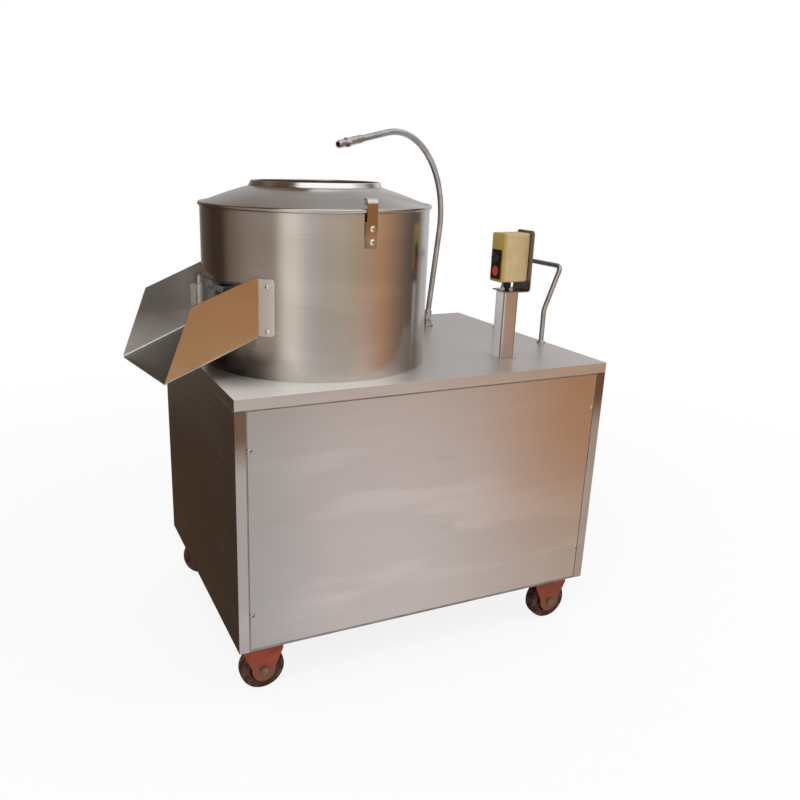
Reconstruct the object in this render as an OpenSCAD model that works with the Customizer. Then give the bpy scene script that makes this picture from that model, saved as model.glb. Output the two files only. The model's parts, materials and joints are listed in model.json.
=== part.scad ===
// Electric potato peeler on four wheels: a drum with a turning abrasive disc on a steel cabinet
// that holds the motor and the belt drive, with a discharge chute, a water gooseneck, a switch
// post and a push handle. Millimetres, +Z up, front towards -Y, origin under the middle on the floor.

/* [Cabinet] */
// Width of the cabinet, left to right
cabinet_w = 800; // [760:5:900]
// Depth of the cabinet, front to back
cabinet_d = 590; // [560:5:680]
// Height of the cabinet, from its lower edge to its top plate
cabinet_h = 500; // [460:5:600]
// Thickness of the cabinet's steel sheet
sheet = 1.5; // [1:0.5:2.5]
// Height of the top plate's folded lip
lip_h = 21; // [16:1:30]
// Width of the side panels' folded front and back strips
strip_w = 20; // [14:1:30]
// Gap round the removable front panel
panel_gap = 2.5; // [1.5:0.5:4]
// Distance from the panel's upper and lower edge to its screws
panel_screw_in = 72; // [40:1:100]
// Distance from the panel's left and right edge to its screws
panel_screw_edge = 3.5; // [3:0.5:8]
// Leg length of the frame's angle iron
angle_leg = 40; // [30:1:50]
// Wall of the frame's angle iron
angle_t = 4; // [3:0.5:6]

/* [Wheels] */
// Height of a caster, floor to mounting plate
caster_h = 113; // [108:1:130]
// Diameter of a wheel over its tyre
wheel_d = 90; // [70:1:100]
// Width of a wheel
wheel_w = 28; // [22:1:34]
// Diameter of a wheel's core, under the tyre
core_d = 66; // [50:1:68]
// Diameter of a wheel axle
axle_d = 10; // [8:1:14]
// Distance from the cabinet's end to a wheel's centre
wheel_in_x = 57; // [55:1:80]
// Distance from the cabinet's front or back to a wheel's centre
wheel_in_y = 49; // [46:1:70]
// Length of a caster's mounting plate
caster_plate_l = 98; // [90:1:104]
// Width of a caster's mounting plate
caster_plate_w = 76; // [70:1:84]
// Thickness of a caster's fork and plate
fork_t = 3; // [2.5:0.5:4]

/* [Drum] */
// Outer diameter of the drum
drum_d = 456; // [420:2:470]
// Height of the drum above the cabinet
drum_h = 302; // [270:2:340]
// Wall of the drum
drum_wall = 2; // [1.5:0.5:3]
// Distance from the cabinet's left end to the drum's axis
drum_from_left = 250; // [245:1:270]
// Distance from the cabinet's front to the drum's axis
drum_from_front = 268; // [255:1:290]
// Height of the drum floor above the cabinet
floor_up = 14; // [10:1:20]
// Thickness of the drum floor
floor_t = 3; // [2:0.5:4]
// Thickness of the abrasive lining
liner_t = 9; // [6:0.5:12]
// Height of the lining's upper edge above the cabinet
liner_top = 236; // [215:1:250]

/* [Lid] */
// How far the lid's rim stands out past the drum
lid_over = 4; // [3:0.5:9]
// Height of the lid's rolled rim
lid_rim_h = 9; // [6:0.5:12]
// Diameter of the feed mouth in the lid
mouth_d = 250; // [200:2:280]
// Height of the lid's cone
cone_h = 31; // [24:1:45]
// Height of the collar round the mouth
collar_h = 7; // [4:0.5:20]
// Thickness of the lid's sheet
lid_t = 1.5; // [1:0.5:2.5]
// Width of a lid clip
clip_w = 21; // [16:1:30]
// Thickness of a lid clip
clip_t = 2.5; // [2:0.5:4]
// How far a lid clip reaches down from the drum's rim
clip_low = 60; // [54:1:70]
// How far a lid clip's straight part reaches above the drum's rim
clip_rise = 18; // [16:1:24]
// Outer radius of a lid clip's bend
clip_bend = 9; // [7:0.5:12]
// How far a lid clip reaches in over the lid, from its outer face
clip_hook = 17; // [14:1:22]

/* [Chute] */
// Outside width of the chute
chute_w = 236; // [210:1:250]
// Turn of the chute from square, towards the front
chute_yaw = 9; // [0:1:15]
// Distance from the drum's axis to the outer end of the chute floor
chute_reach = 368; // [340:1:390]
// Distance from the drum's axis to the outer end of the chute walls' tops
chute_top_reach = 316; // [290:1:330]
// Height of the chute floor's inner end above the cabinet
chute_low = 75; // [70:1:85]
// Height of the chute walls' inner end above the cabinet
chute_high = 190; // [176:1:200]
// Slope of the chute
chute_slope = 21; // [15:1:25]
// Thickness of the chute's sheet
chute_t = 2; // [1.5:0.5:3]
// How far the front wall's root stands out past the chute's side
root_out = 9; // [0:1:14]
// Width of the chute's screwed flanges
flange_w = 32; // [24:1:36]

/* [Gate] */
// Width of the discharge opening, across
gate_w = 190; // [160:1:196]
// Height of the discharge opening
gate_h = 84; // [60:1:88]
// How far the gate covers the drum round the opening
gate_lap = 7; // [5:0.5:8]
// Thickness of the gate
gate_t = 2.5; // [2:0.5:3]
// Diameter of the gate's hinge pin
hinge_pin_d = 6; // [5:0.5:7]

/* [Disc] */
// Clearance between the disc and the lining
disc_gap = 3; // [2:0.5:6]
// Height of the disc's upper face above the cabinet
disc_top = 68; // [64:1:72]
// Thickness of the disc
disc_t = 8; // [6:1:12]
// Number of raised waves on the disc
waves = 4; // [3:1:6]
// Height of a wave
wave_h = 9; // [6:0.5:14]

/* [Drive] */
// Diameter of the main shaft
shaft_d = 35; // [30:1:40]
// Outer diameter of the shaft's bearings
bearing_d = 72; // [68:1:80]
// Width of a bearing
bearing_w = 17; // [15:1:20]
// Outer diameter of the bearing housing
housing_d = 100; // [92:2:120]
// Length of the bearing housing below the cabinet's top plate
housing_l = 142; // [130:1:160]
// Outer diameter of the large pulley
big_pulley_d = 300; // [240:5:310]
// Outer diameter of the motor's pulley
small_pulley_d = 80; // [72:2:100]
// Height of the belts' middle below the cabinet's top plate
belt_down = 186; // [180:1:210]
// Distance between the pulleys' axes
belt_centres = 310; // [300:1:330]
// Width of a V-belt at its top
belt_w = 17; // [13:1:17]
// Depth of a V-belt
belt_h = 11; // [8:1:11]
// Distance between the two belts
belt_pitch = 19; // [19:0.5:22]

/* [Motor] */
// Diameter of the motor body
motor_d = 176; // [150:2:190]
// Length of the motor body
motor_l = 200; // [170:2:210]
// Length of the motor's fan cover
fan_cover_l = 48; // [40:1:50]
// Diameter of the motor shaft
motor_shaft_d = 24; // [19:1:28]
// Diameter of the motor's mounting flange
motor_flange_d = 200; // [190:2:220]
// Diameter of the spigot above the motor's flange
motor_spigot_d = 104; // [96:2:110]
// Length of the plate that carries the motor
motor_plate_l = 270; // [250:5:290]
// Thickness of the plate that carries the motor
motor_plate_t = 8; // [6:1:10]

/* [Water] */
// Distance from the cabinet's left end to the gooseneck's foot
neck_from_left = 628; // [610:1:640]
// Distance from the cabinet's front to the gooseneck's foot
neck_from_front = 463; // [450:1:480]
// Outer diameter of the gooseneck tube
neck_d = 14; // [12:0.5:18]
// Lean of the gooseneck's standing part, in degrees
neck_lean = 9; // [4:1:12]
// Length of the gooseneck's standing part
neck_rise = 233; // [200:1:260]
// Radius of the gooseneck's bend
neck_r = 193; // [170:1:210]
// Fall of the gooseneck's outer part, in degrees
neck_fall = 10; // [0:1:20]
// Length of the gooseneck's outer part
neck_out = 90; // [60:1:150]
// Distance from the drum's axis to the drain hole
drain_at = 150; // [135:1:165]
// Outer diameter of the drain pipe
drain_d = 50; // [40:1:60]
// How far the drain pipe stands out of the back
drain_out = 30; // [26:1:60]
// Outer diameter of the water inlet's pipe end
inlet_d = 21; // [17:1:27]
// How far the water inlet stands out of the back
inlet_out = 24; // [20:1:26]

/* [Switch] */
// Side of the square switch post
post_side = 36; // [30:1:44]
// Height of the switch post
post_h = 141; // [110:1:170]
// Distance from the cabinet's left end to the post's axis
post_from_left = 619; // [610:1:640]
// Distance from the cabinet's front to the post's axis
post_from_front = 116; // [105:1:130]
// Size of the switch box from left to right
switch_w = 62; // [56:1:72]
// Size of the switch box from front to back
switch_d = 44; // [40:1:56]
// Height of the switch box
switch_h = 98; // [90:1:110]
// Diameter of a push button
button_d = 22; // [18:1:24]
// Travel of a push button
button_travel = 4; // [3:0.5:6]
// Clearance round a push button
button_gap = 0.4; // [0.3:0.1:0.8]

/* [Handle] */
// Diameter of the push handle's tube
handle_d = 11; // [9:0.5:18]
// Distance between the push handle's two legs
handle_span = 180; // [140:2:240]
// Height of the push handle above the cabinet
handle_h = 173; // [140:1:200]
// Height of the upright part of a handle leg
handle_knee = 76; // [50:1:100]
// How far the grip stands out past the legs' feet
handle_out = 36; // [10:1:50]
// Distance from the cabinet's right end to the middle of the legs' feet
handle_in = 14; // [12:1:30]
// Radius of the bend in a handle leg
knee_r = 60; // [40:2:80]
// Radius of the bends at the grip
grip_r = 13; // [11:1:20]

/* [Fits] */
// Running clearance of a shaft or axle in its bore, on the radius
running = 0.05; // [0.02:0.01:0.08]

/* [Hidden] */
$fn = 64;
eps = 0.01;

// Handle and chute set how far the machine reaches, and the origin lies midway between.
bead = 0.5;
chute_tip_x = chute_reach * cos(chute_yaw) + chute_w / 2 * sin(chute_yaw);
reach_left = chute_tip_x - drum_from_left;
reach_right = cabinet_w - handle_in + handle_out + (handle_d + bead) / 2;
left = (reach_left - reach_right) / 2;
right = left + cabinet_w;
screw_head_h = 3;
front = -(cabinet_d + drain_out - screw_head_h) / 2;
back = front + cabinet_d;
low = caster_h;
top = low + cabinet_h;

// Places of the main groups.
drum_x = left + drum_from_left;
drum_y = front + drum_from_front;
motor_x = drum_x + belt_centres;
motor_y = drum_y;
neck_x = left + neck_from_left;
neck_y = front + neck_from_front;
post_x = left + post_from_left;
post_y = front + post_from_front;
belt_z = top - belt_down;

// Cabinet.
under_top = top - sheet;
door_x0 = left + strip_w + panel_gap;
door_x1 = right - strip_w - panel_gap;
door_z0 = low + 6;
door_z1 = top - lip_h - panel_gap;
side_top = top - lip_h - 0.5;
mid_rail_z = belt_z - 40 - motor_plate_t;
motor_rail_y = motor_flange_d / 2 + 20;
housing_rail_x = housing_d / 2 + 65;

// Casters and wheels.
axle_z = wheel_d / 2;
caster_x = [left + wheel_in_x, right - wheel_in_x];
caster_y = [front + wheel_in_y, back - wheel_in_y];
fork_in = wheel_w / 2 + 3;
fork_out = fork_in + fork_t;
plate_z = caster_h - fork_t;

// Drum.
drum_r = drum_d / 2;
drum_in_r = drum_r - drum_wall;
pan_z = top + floor_up;
neck_hole_r = 45;
drain_r = drain_d / 2;
drain_angle = 62;
base_flange = 16;

// Lid.
rim_z = top + drum_h;
lid_r = drum_r + lid_over;
mouth_r = mouth_d / 2;
clip_angles = [-86, 94];
clip_stand = lid_r + 0.3;
clip_screw_z = [-clip_low + 12, -clip_low + 35];

// Chute and gate.
chute_turn = 180 + chute_yaw;
chute_half = chute_w / 2;
chute_root = sqrt(drum_r * drum_r - chute_half * chute_half);
chute_top_out = chute_high - (chute_top_reach - chute_root) * tan(chute_slope);
chute_low_out = chute_low - (chute_reach - chute_root) * tan(chute_slope);
near_half = chute_half + root_out;
near_root = sqrt(drum_r * drum_r - near_half * near_half);
near_pivot = (chute_reach + chute_top_reach) / 2;
near_turn = atan(root_out / (near_pivot - near_root));
flange_angle = flange_w / drum_r * 180 / PI;
far_from = asin(chute_half / drum_r);
near_from = asin(near_half / drum_r);
flange_z0 = chute_low + 4;
flange_z1 = chute_high - 4;
flange_screw_a = [near_from + flange_angle / 2, -far_from - flange_angle / 2];
flange_screw_z = [flange_z0 + 12, flange_z1 - 14];
gate_z0 = top + disc_top + 12;
gate_half_a = asin(gate_w / 2 / drum_r);
gate_in_r = drum_r + 0.5;
gate_mid_r = gate_in_r + gate_t / 2;
lap_a = gate_lap / drum_r * 180 / PI;
gate_edge_a = gate_half_a + lap_a;
knuckle_r = hinge_pin_d / 2 + 2.2;
hinge_w = gate_mid_r * sin(gate_edge_a) + knuckle_r - 0.6;
hinge_s = gate_mid_r * cos(gate_edge_a) + 2.4;
gate_bottom = gate_z0 - gate_lap + 3;
gate_top = gate_z0 + gate_h + gate_lap;
knuckle_h = 16;

// Disc and shaft.
disc_r = drum_in_r - liner_t - disc_gap;
disc_z = top + disc_top;
seal_z = top + 44;
hub_r = 42;
housing_bolt_x = housing_rail_x + 16;
housing_bolt_y = housing_d / 2 - 6;
shaft_top = disc_z + 10;
shaft_low = belt_z - 34;

// Belts and pulleys.
groove_a = 20;
belt_slope = belt_h * tan(groove_a);
big_r = big_pulley_d / 2;
small_r = small_pulley_d / 2;
pulley_half = belt_pitch / 2 + belt_w / 2 + 4;
belt_levels = [belt_z - belt_pitch / 2, belt_z + belt_pitch / 2];
belt_play = 0.4;
wrap = acos((big_r - small_r) / belt_centres);

// Motor.
plate_top = mid_rail_z + motor_plate_t;
motor_top = mid_rail_z - 12;
motor_low = motor_top - motor_l;
cover_t = 1.5;
motor_plate_w = 2 * motor_rail_y + 50;
slide_bolt_x = motor_flange_d / 2;
slide_bolt_y = motor_rail_y + 14;

// Gooseneck.
neck_turn = atan2(drum_y + 32 - neck_y, drum_x + 50 - neck_x);
neck_z = top + 34;

// Switch.
bracket_t = 2.5;
bracket_z = top + post_h;
box_x1 = post_x + 31;
box_x0 = box_x1 - switch_w;
box_y0 = post_y - 21;
bracket_y0 = box_y0 - 11;
bracket_y1 = box_y0 + switch_d + 3;
box_y1 = box_y0 + switch_d;
box_z0 = bracket_z + bracket_t + 17;
box_z1 = box_z0 + switch_h;
cover_d = 6;
button_y = (box_y0 + box_y1) / 2;
on_z = box_z0 + 48;
off_z = box_z0 + 22;
button_out = 7;
button_l = 17;

// Push handle.
handle_lean = atan2(handle_out, handle_h - handle_knee);
knee_cut = knee_r * tan(handle_lean / 2);
knee_z = handle_knee - knee_cut;
leg_l = (handle_h - handle_knee) / cos(handle_lean) - knee_cut;

// ---------------------------------------------------------------- shared shapes

// A block between two corners.
module block(a, b) {
    translate(a)
        cube(b - a);
}

// An angle iron along X, Y or Z, its outer corner at the start, its legs towards +u and +v.
module angle_iron(length, u = 1, v = 1) {
    scale_u = u > 0 ? 0 : 1;
    scale_v = v > 0 ? 0 : 1;
    mirror([scale_u, 0, 0])
        mirror([0, scale_v, 0])
            linear_extrude(length)
                polygon([[0, 0], [angle_leg, 0], [angle_leg, angle_t],
                         [angle_t, angle_t], [angle_t, angle_leg], [0, angle_leg]]);
}

// A dome-headed screw standing on the plane z = 0, its shank going down.
module dome_screw(head_d, head_h, shank_d, shank_l) {
    head_r = head_d / 2;
    ball_r = (head_r * head_r + head_h * head_h) / (2 * head_h);
    intersection() {
        translate([0, 0, head_h - ball_r])
            sphere(ball_r);
        cylinder(r = head_r, h = head_h);
    }
    translate([0, 0, -shank_l])
        cylinder(d = shank_d, h = shank_l + eps);
}

// A hexagon bolt standing on the plane z = 0, its shank going down.
module hex_bolt(size, shank_l) {
    cylinder(d = size * 1.8, h = size * 0.65, $fn = 6);
    translate([0, 0, -shank_l])
        cylinder(d = size, h = shank_l + eps);
}

// A ring.
module ring(r_in, r_out, h) {
    difference() {
        cylinder(r = r_out, h = h);
        translate([0, 0, -1])
            cylinder(r = r_in, h = h + 2);
    }
}

// Moves children to the drum's axis at the cabinet's top.
module on_drum() {
    translate([drum_x, drum_y, top])
        children();
}

// Turns children so that +X runs out along the chute, +Y towards its front wall.
module along_chute() {
    on_drum()
        rotate([0, 0, chute_turn])
            children();
}

// ---------------------------------------------------------------- cabinet

// Welded angle-iron frame: two rings, four posts, the motor's rails and the housing's rails.
module frame() {
    x0 = left + sheet;
    x1 = right - sheet;
    y0 = front + sheet;
    y1 = back - sheet;
    top_z = under_top;
    long = x1 - x0;
    deep = y1 - y0;
    color("dimgray") {
        for (x = [x0, x1], y = [y0, y1])
            translate([x, y, low])
                angle_iron(top_z - low, x == x0 ? 1 : -1, y == y0 ? 1 : -1);
        for (y = [y0, y1]) {
            side = y == y0 ? 1 : -1;
            translate([x0, y, low])
                rotate([90, 0, 90])
                    angle_iron(long, side, 1);
            translate([x0, y, top_z])
                rotate([90, 0, 90])
                    angle_iron(long, side, -1);
        }
        for (x = [x0, x1]) {
            side = x == x0 ? 1 : -1;
            for (z = [low, top_z, mid_rail_z])
                translate([x, y1, z])
                    rotate([90, 0, 0])
                        angle_iron(deep, side, z == low ? 1 : -1);
        }
        for (side = [-1, 1])
            translate([x0, motor_y + side * motor_rail_y, mid_rail_z])
                rotate([90, 0, 90])
                    angle_iron(long, side, -1);
        for (side = [-1, 1])
            translate([drum_x + side * (housing_rail_x + angle_leg), y1, top_z])
                rotate([90, 0, 0])
                    angle_iron(deep, -side, -1);
    }
}

// Top plate with its lip folded down all round.
module top_plate() {
    color("lightgray")
        difference() {
            block([left, front, top - lip_h], [right, back, top]);
            block([left + sheet, front + sheet, top - lip_h - 1],
                  [right - sheet, back - sheet, top - sheet]);
            translate([drum_x, drum_y, top - sheet - 1])
                cylinder(r = neck_hole_r + 1, h = sheet + 2);
            rotate_to_drain()
                translate([0, 0, -sheet - 1])
                    cylinder(r = drain_r + 1, h = sheet + 2);
            translate([neck_x, neck_y, top - sheet - 1])
                cylinder(r = 11, h = sheet + 2);
            translate([post_x, post_y, top - sheet - 1])
                cylinder(r = 9, h = sheet + 2);
        }
}

// Moves children to the drain's place at the cabinet's top.
module rotate_to_drain() {
    on_drum()
        rotate([0, 0, drain_angle])
            translate([drain_at, 0, 0])
                children();
}

// One side panel: a sheet with a strip folded round the front and the back corner.
module side_panel(outer, inward) {
    in_x = outer + inward * sheet;
    strip_x = outer + inward * strip_w;
    block([min(outer, in_x), front, low], [max(outer, in_x), back, side_top]);
    for (y = [front, back - sheet])
        block([min(outer, strip_x), y, low], [max(outer, strip_x), y + sheet, side_top]);
}

module left_panel() {
    color("gray")
        side_panel(left, 1);
}

module right_panel() {
    color("gray")
        side_panel(right, -1);
}

// Removable front panel with folded edges.
module front_panel() {
    color("silver")
        difference() {
            block([door_x0, front, door_z0], [door_x1, front + sheet, door_z1]);
            for (x = panel_screw_x, z = panel_screw_z)
                translate([x, front + sheet + 1, z])
                    rotate([90, 0, 0])
                        cylinder(d = 5, h = sheet + 2);
        }
}

panel_screw_x = [door_x0 + panel_screw_edge, door_x1 - panel_screw_edge];
panel_screw_z = [door_z0 + panel_screw_in, door_z1 - panel_screw_in];

// Back panel with cooling slots behind the motor, and the holes for drain, water and cable.
module back_panel() {
    slot_l = 70;
    slot_h = 5;
    slot_step = 14;
    color("gray")
        difference() {
            block([door_x0, back - sheet, door_z0], [door_x1, back, door_z1]);
            for (column = [0, 1], row = [0:9])
                translate([motor_x - slot_l - 8 + column * (slot_l + 16), back - sheet - 1,
                           motor_low + 10 + row * slot_step])
                    cube([slot_l, sheet + 2, slot_h]);
            translate([drain_out_x, back + 1, drain_z])
                rotate([90, 0, 0])
                    cylinder(r = drain_r + 1, h = sheet + 2);
            translate([neck_x, back + 1, inlet_z])
                rotate([90, 0, 0])
                    cylinder(d = inlet_d + 1, h = sheet + 2);
            translate([gland_x, back + 1, gland_z])
                rotate([90, 0, 0])
                    cylinder(d = gland_d + 0.6, h = sheet + 2);
            for (x = panel_screw_x, z = panel_screw_z)
                translate([x, back + 1, z])
                    rotate([90, 0, 0])
                        cylinder(d = 5, h = sheet + 2);
        }
}

drain_out_x = drum_x + drain_at * cos(drain_angle);
drain_z = top - 110;
inlet_z = top - 70;
inlet_nut_r = inlet_d * 0.8;
gland_x = (neck_x + inlet_nut_r + right - sheet - angle_leg) / 2;
gland_z = top - 90;
gland_d = 20;

// Dome-headed screws of the front and the back panel.
module panel_screws() {
    color("white")
        for (x = panel_screw_x, z = panel_screw_z) {
            translate([x, front, z])
                rotate([90, 0, 0])
                    dome_screw(10, screw_head_h, 5, sheet);
            translate([x, back, z])
                rotate([-90, 0, 0])
                    dome_screw(10, screw_head_h, 5, sheet);
        }
}

// ---------------------------------------------------------------- casters

// One rigid caster fork: a mounting plate and two tapered cheeks with the axle's bore.
module caster_fork() {
    boss_r = 24;
    shoulder_w = 40;
    shoulder_h = 42;
    side_w = boss_r * 0.9;
    translate([-caster_plate_l / 2, -caster_plate_w / 2, plate_z])
        cube([caster_plate_l, caster_plate_w, fork_t]);
    for (side = [-1, 1])
        translate([0, side * (fork_in + fork_t / 2) + fork_t / 2, 0])
            rotate([90, 0, 0])
                linear_extrude(fork_t)
                    difference() {
                        union() {
                            polygon([[-shoulder_w, plate_z + eps], [shoulder_w, plate_z + eps],
                                     [shoulder_w, axle_z + shoulder_h], [side_w, axle_z],
                                     [-side_w, axle_z], [-shoulder_w, axle_z + shoulder_h]]);
                            translate([0, axle_z])
                                circle(boss_r);
                        }
                        translate([0, axle_z])
                            circle(d = axle_d);
                    }
}

module caster_forks() {
    color("orangered")
        for (x = caster_x, y = caster_y)
            translate([x, y, 0])
                caster_fork();
}

// Axle bolts with a head on one side and a nut on the other.
module caster_axles() {
    color("silver")
        for (x = caster_x, y = caster_y)
            translate([x, y, axle_z])
                rotate([90, 0, 0]) {
                    translate([0, 0, -fork_out])
                        cylinder(d = axle_d, h = 2 * fork_out);
                    translate([0, 0, fork_out])
                        cylinder(d = axle_d * 1.7, h = axle_d * 0.6, $fn = 6);
                    translate([0, 0, -fork_out - axle_d * 0.6])
                        cylinder(d = axle_d * 1.7, h = axle_d * 0.6, $fn = 6);
                }
}

// The wheel's core: a web between a rim and a hub, bored for the axle.
module wheel_core() {
    core_r = core_d / 2;
    hub_w = 2 * fork_in - 1.2;
    rim_t = 6;
    web = 8;
    rotate([90, 0, 0])
        rotate_extrude()
            polygon([[axle_d / 2 + running, -hub_w / 2], [13, -hub_w / 2], [13, -web / 2],
                     [core_r - rim_t, -web / 2], [core_r - rim_t, -wheel_w / 2 + 1],
                     [core_r, -wheel_w / 2 + 1], [core_r, wheel_w / 2 - 1],
                     [core_r - rim_t, wheel_w / 2 - 1], [core_r - rim_t, web / 2],
                     [13, web / 2], [13, hub_w / 2], [axle_d / 2 + running, hub_w / 2]]);
}

// The tyre, with rounded shoulders.
module tyre() {
    core_r = core_d / 2;
    shoulder = 5;
    out_r = wheel_d / 2;
    rotate([90, 0, 0])
        rotate_extrude()
            union() {
                translate([core_r, -wheel_w / 2])
                    square([out_r - shoulder - core_r, wheel_w]);
                translate([core_r, -wheel_w / 2 + shoulder])
                    square([out_r - core_r, wheel_w - 2 * shoulder]);
                for (side = [-1, 1])
                    translate([out_r - shoulder, side * (wheel_w / 2 - shoulder)])
                        circle(shoulder);
            }
}

module at_wheel(i, j) {
    translate([caster_x[i], caster_y[j], axle_z])
        children();
}

module wheel_front_left() { color("dimgray") at_wheel(0, 0) wheel_core(); }
module wheel_front_right() { color("dimgray") at_wheel(1, 0) wheel_core(); }
module wheel_back_left() { color("dimgray") at_wheel(0, 1) wheel_core(); }
module wheel_back_right() { color("dimgray") at_wheel(1, 1) wheel_core(); }
module tyre_front_left() { color("darkslategray") at_wheel(0, 0) tyre(); }
module tyre_front_right() { color("darkslategray") at_wheel(1, 0) tyre(); }
module tyre_back_left() { color("darkslategray") at_wheel(0, 1) tyre(); }
module tyre_back_right() { color("darkslategray") at_wheel(1, 1) tyre(); }

// ---------------------------------------------------------------- drum and lid

// The discharge opening as a wedge between two heights, out to a given radius.
module opening_wedge(half_a, z0, z1, r) {
    along_chute()
        translate([0, 0, z0 - top])
            rotate([0, 0, -half_a])
                rotate_extrude(angle = 2 * half_a)
                    translate([drum_in_r - 40, 0])
                        square([r - drum_in_r + 40, z1 - z0]);
}

// Drum wall with a foot flange inside and the discharge opening.
module drum_shell() {
    color("silver")
        difference() {
            union() {
                on_drum()
                    ring(drum_in_r, drum_r, drum_h);
                on_drum()
                    ring(drum_in_r - base_flange, drum_in_r + eps, drum_wall);
            }
            opening_wedge(gate_half_a, gate_z0, gate_z0 + gate_h, drum_r + 10);
        }
}

// Drum floor: a plate with a skirt that stands on the cabinet, a neck hole and the drain hole.
module drum_floor() {
    color("silver")
        difference() {
            union() {
                translate([0, 0, floor_up])
                    on_drum()
                        cylinder(r = drum_in_r, h = floor_t);
                on_drum()
                    ring(drum_in_r - base_flange - 6, drum_in_r - base_flange - 3, floor_up + 1);
                on_drum()
                    ring(neck_hole_r, neck_hole_r + 3, floor_up + floor_t + 12);
            }
            on_drum()
                translate([0, 0, -1])
                    cylinder(r = neck_hole_r, h = floor_up + floor_t + 20);
            rotate_to_drain()
                translate([0, 0, -1])
                    cylinder(r = drain_r, h = floor_up + floor_t + 2);
        }
}

// Abrasive lining on the drum's wall, from the floor up, with the discharge opening.
module abrasive_lining() {
    color("saddlebrown")
        difference() {
            on_drum()
                translate([0, 0, floor_up + floor_t])
                    ring(drum_in_r - liner_t, drum_in_r, liner_top - floor_up - floor_t);
            opening_wedge(gate_half_a + 0.5, gate_z0 - 2, gate_z0 + gate_h + 2, drum_r + 10);
        }
}

// Conical lid with a rolled rim round the drum's edge and a beaded collar round the mouth.
module lid() {
    r_seat = drum_in_r - 4;
    rim_r = lid_rim_h / 2;
    rim_c = lid_r - rim_r;
    z_mouth = lid_rim_h + cone_h;
    z_collar = z_mouth + collar_h;
    color("silver")
        translate([drum_x, drum_y, rim_z])
            rotate_extrude() {
                polygon([[r_seat, 0], [rim_c, 0], [rim_c, lid_rim_h],
                         [mouth_r + 4, z_mouth], [mouth_r + 2, z_mouth + 2], [mouth_r + 2, z_collar],
                         [mouth_r, z_collar], [mouth_r, z_mouth - lid_t * 1.2],
                         [lid_r - 8, lid_rim_h - lid_t * 1.6], [lid_r - 8, 2], [r_seat, 2]]);
                translate([rim_c, rim_r])
                    circle(rim_r);
                translate([mouth_r + 2, z_collar])
                    circle(2);
            }
}

// Side outline of a lid clip: packing block, strap, rolled top and the tip on the cone.
module clip_outline() {
    out = clip_stand + clip_t;
    inner = out - clip_hook;
    tip_z = lid_rim_h + (lid_r - lid_rim_h / 2 - inner) * cone_h / (lid_r - lid_rim_h / 2 - mouth_r - 4);
    translate([drum_r, -clip_low])
        square([out - drum_r, clip_low - 12]);
    translate([clip_stand, -clip_low])
        square([clip_t, clip_low + clip_rise]);
    translate([out - clip_bend, clip_rise])
        intersection() {
            difference() {
                circle(clip_bend);
                circle(clip_bend - clip_t);
            }
            square(clip_bend + 1);
        }
    translate([inner, clip_rise + clip_bend - clip_t])
        square([clip_hook - clip_bend, clip_t]);
    translate([inner, tip_z])
        square([clip_t, clip_rise + clip_bend - tip_z]);
}

// One lid clip: a strap screwed to the drum, up past the rim, and over the lid's edge.
module lid_clip() {
    difference() {
        translate([0, clip_w / 2, 0])
            rotate([90, 0, 0])
                linear_extrude(clip_w)
                    clip_outline();
        for (z = clip_screw_z)
            translate([drum_r - 10, 0, z])
                rotate([0, 90, 0])
                    cylinder(d = 6, h = 30);
    }
}

module lid_clips() {
    color("silver")
        for (a = clip_angles)
            translate([drum_x, drum_y, rim_z])
                rotate([0, 0, a])
                    lid_clip();
}

// Dome-headed screws of the lid clips and the chute's flanges.
module drum_screws() {
    color("white") {
        for (a = clip_angles, z = clip_screw_z)
            translate([drum_x, drum_y, rim_z + z])
                rotate([0, 0, a])
                    translate([clip_stand + clip_t, 0, 0])
                        rotate([0, 90, 0])
                            dome_screw(12, 4, 6, clip_stand + clip_t - drum_r);
        for (a = flange_screw_a, z = flange_screw_z)
            along_chute()
                rotate([0, 0, a])
                    translate([drum_r + chute_t, 0, z])
                        rotate([0, 90, 0])
                            dome_screw(9, screw_head_h, 5, chute_t);
    }
}

// ---------------------------------------------------------------- chute and gate

// One chute wall, as the upright outline of the chute's side.
module chute_wall() {
    rotate([90, 0, 0])
        linear_extrude(chute_t)
            polygon([[chute_root - 40, chute_low + 40 * tan(chute_slope)], [chute_root - 40, chute_high],
                     [chute_root, chute_high], [chute_top_reach, chute_top_out],
                     [chute_reach, chute_low_out]]);
}

// Moves children to the front wall's outer end, +X along the wall.
module on_near_wall() {
    translate([near_pivot, chute_half, 0])
        rotate([0, 0, -near_turn])
            translate([-near_pivot, 0, 0])
                children();
}

// A flange on the drum, from its root at the angle 0 towards larger angles, its far corners cut.
module chute_flange() {
    difference() {
        rotate([0, 0, -0.6])
            rotate_extrude(angle = flange_angle + 0.6)
                translate([drum_r, flange_z0])
                    square([chute_t, flange_z1 - flange_z0]);
        rotate([0, 0, flange_angle])
            for (z = [flange_z0, flange_z1])
                translate([drum_r, 0, z])
                    rotate([45, 0, 0])
                        cube([20, 12, 12], center = true);
        for (z = flange_screw_z)
            rotate([0, 0, flange_angle / 2])
                translate([drum_r - 5, 0, z])
                    rotate([0, 90, 0])
                        cylinder(d = 5, h = 10);
    }
}

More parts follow.
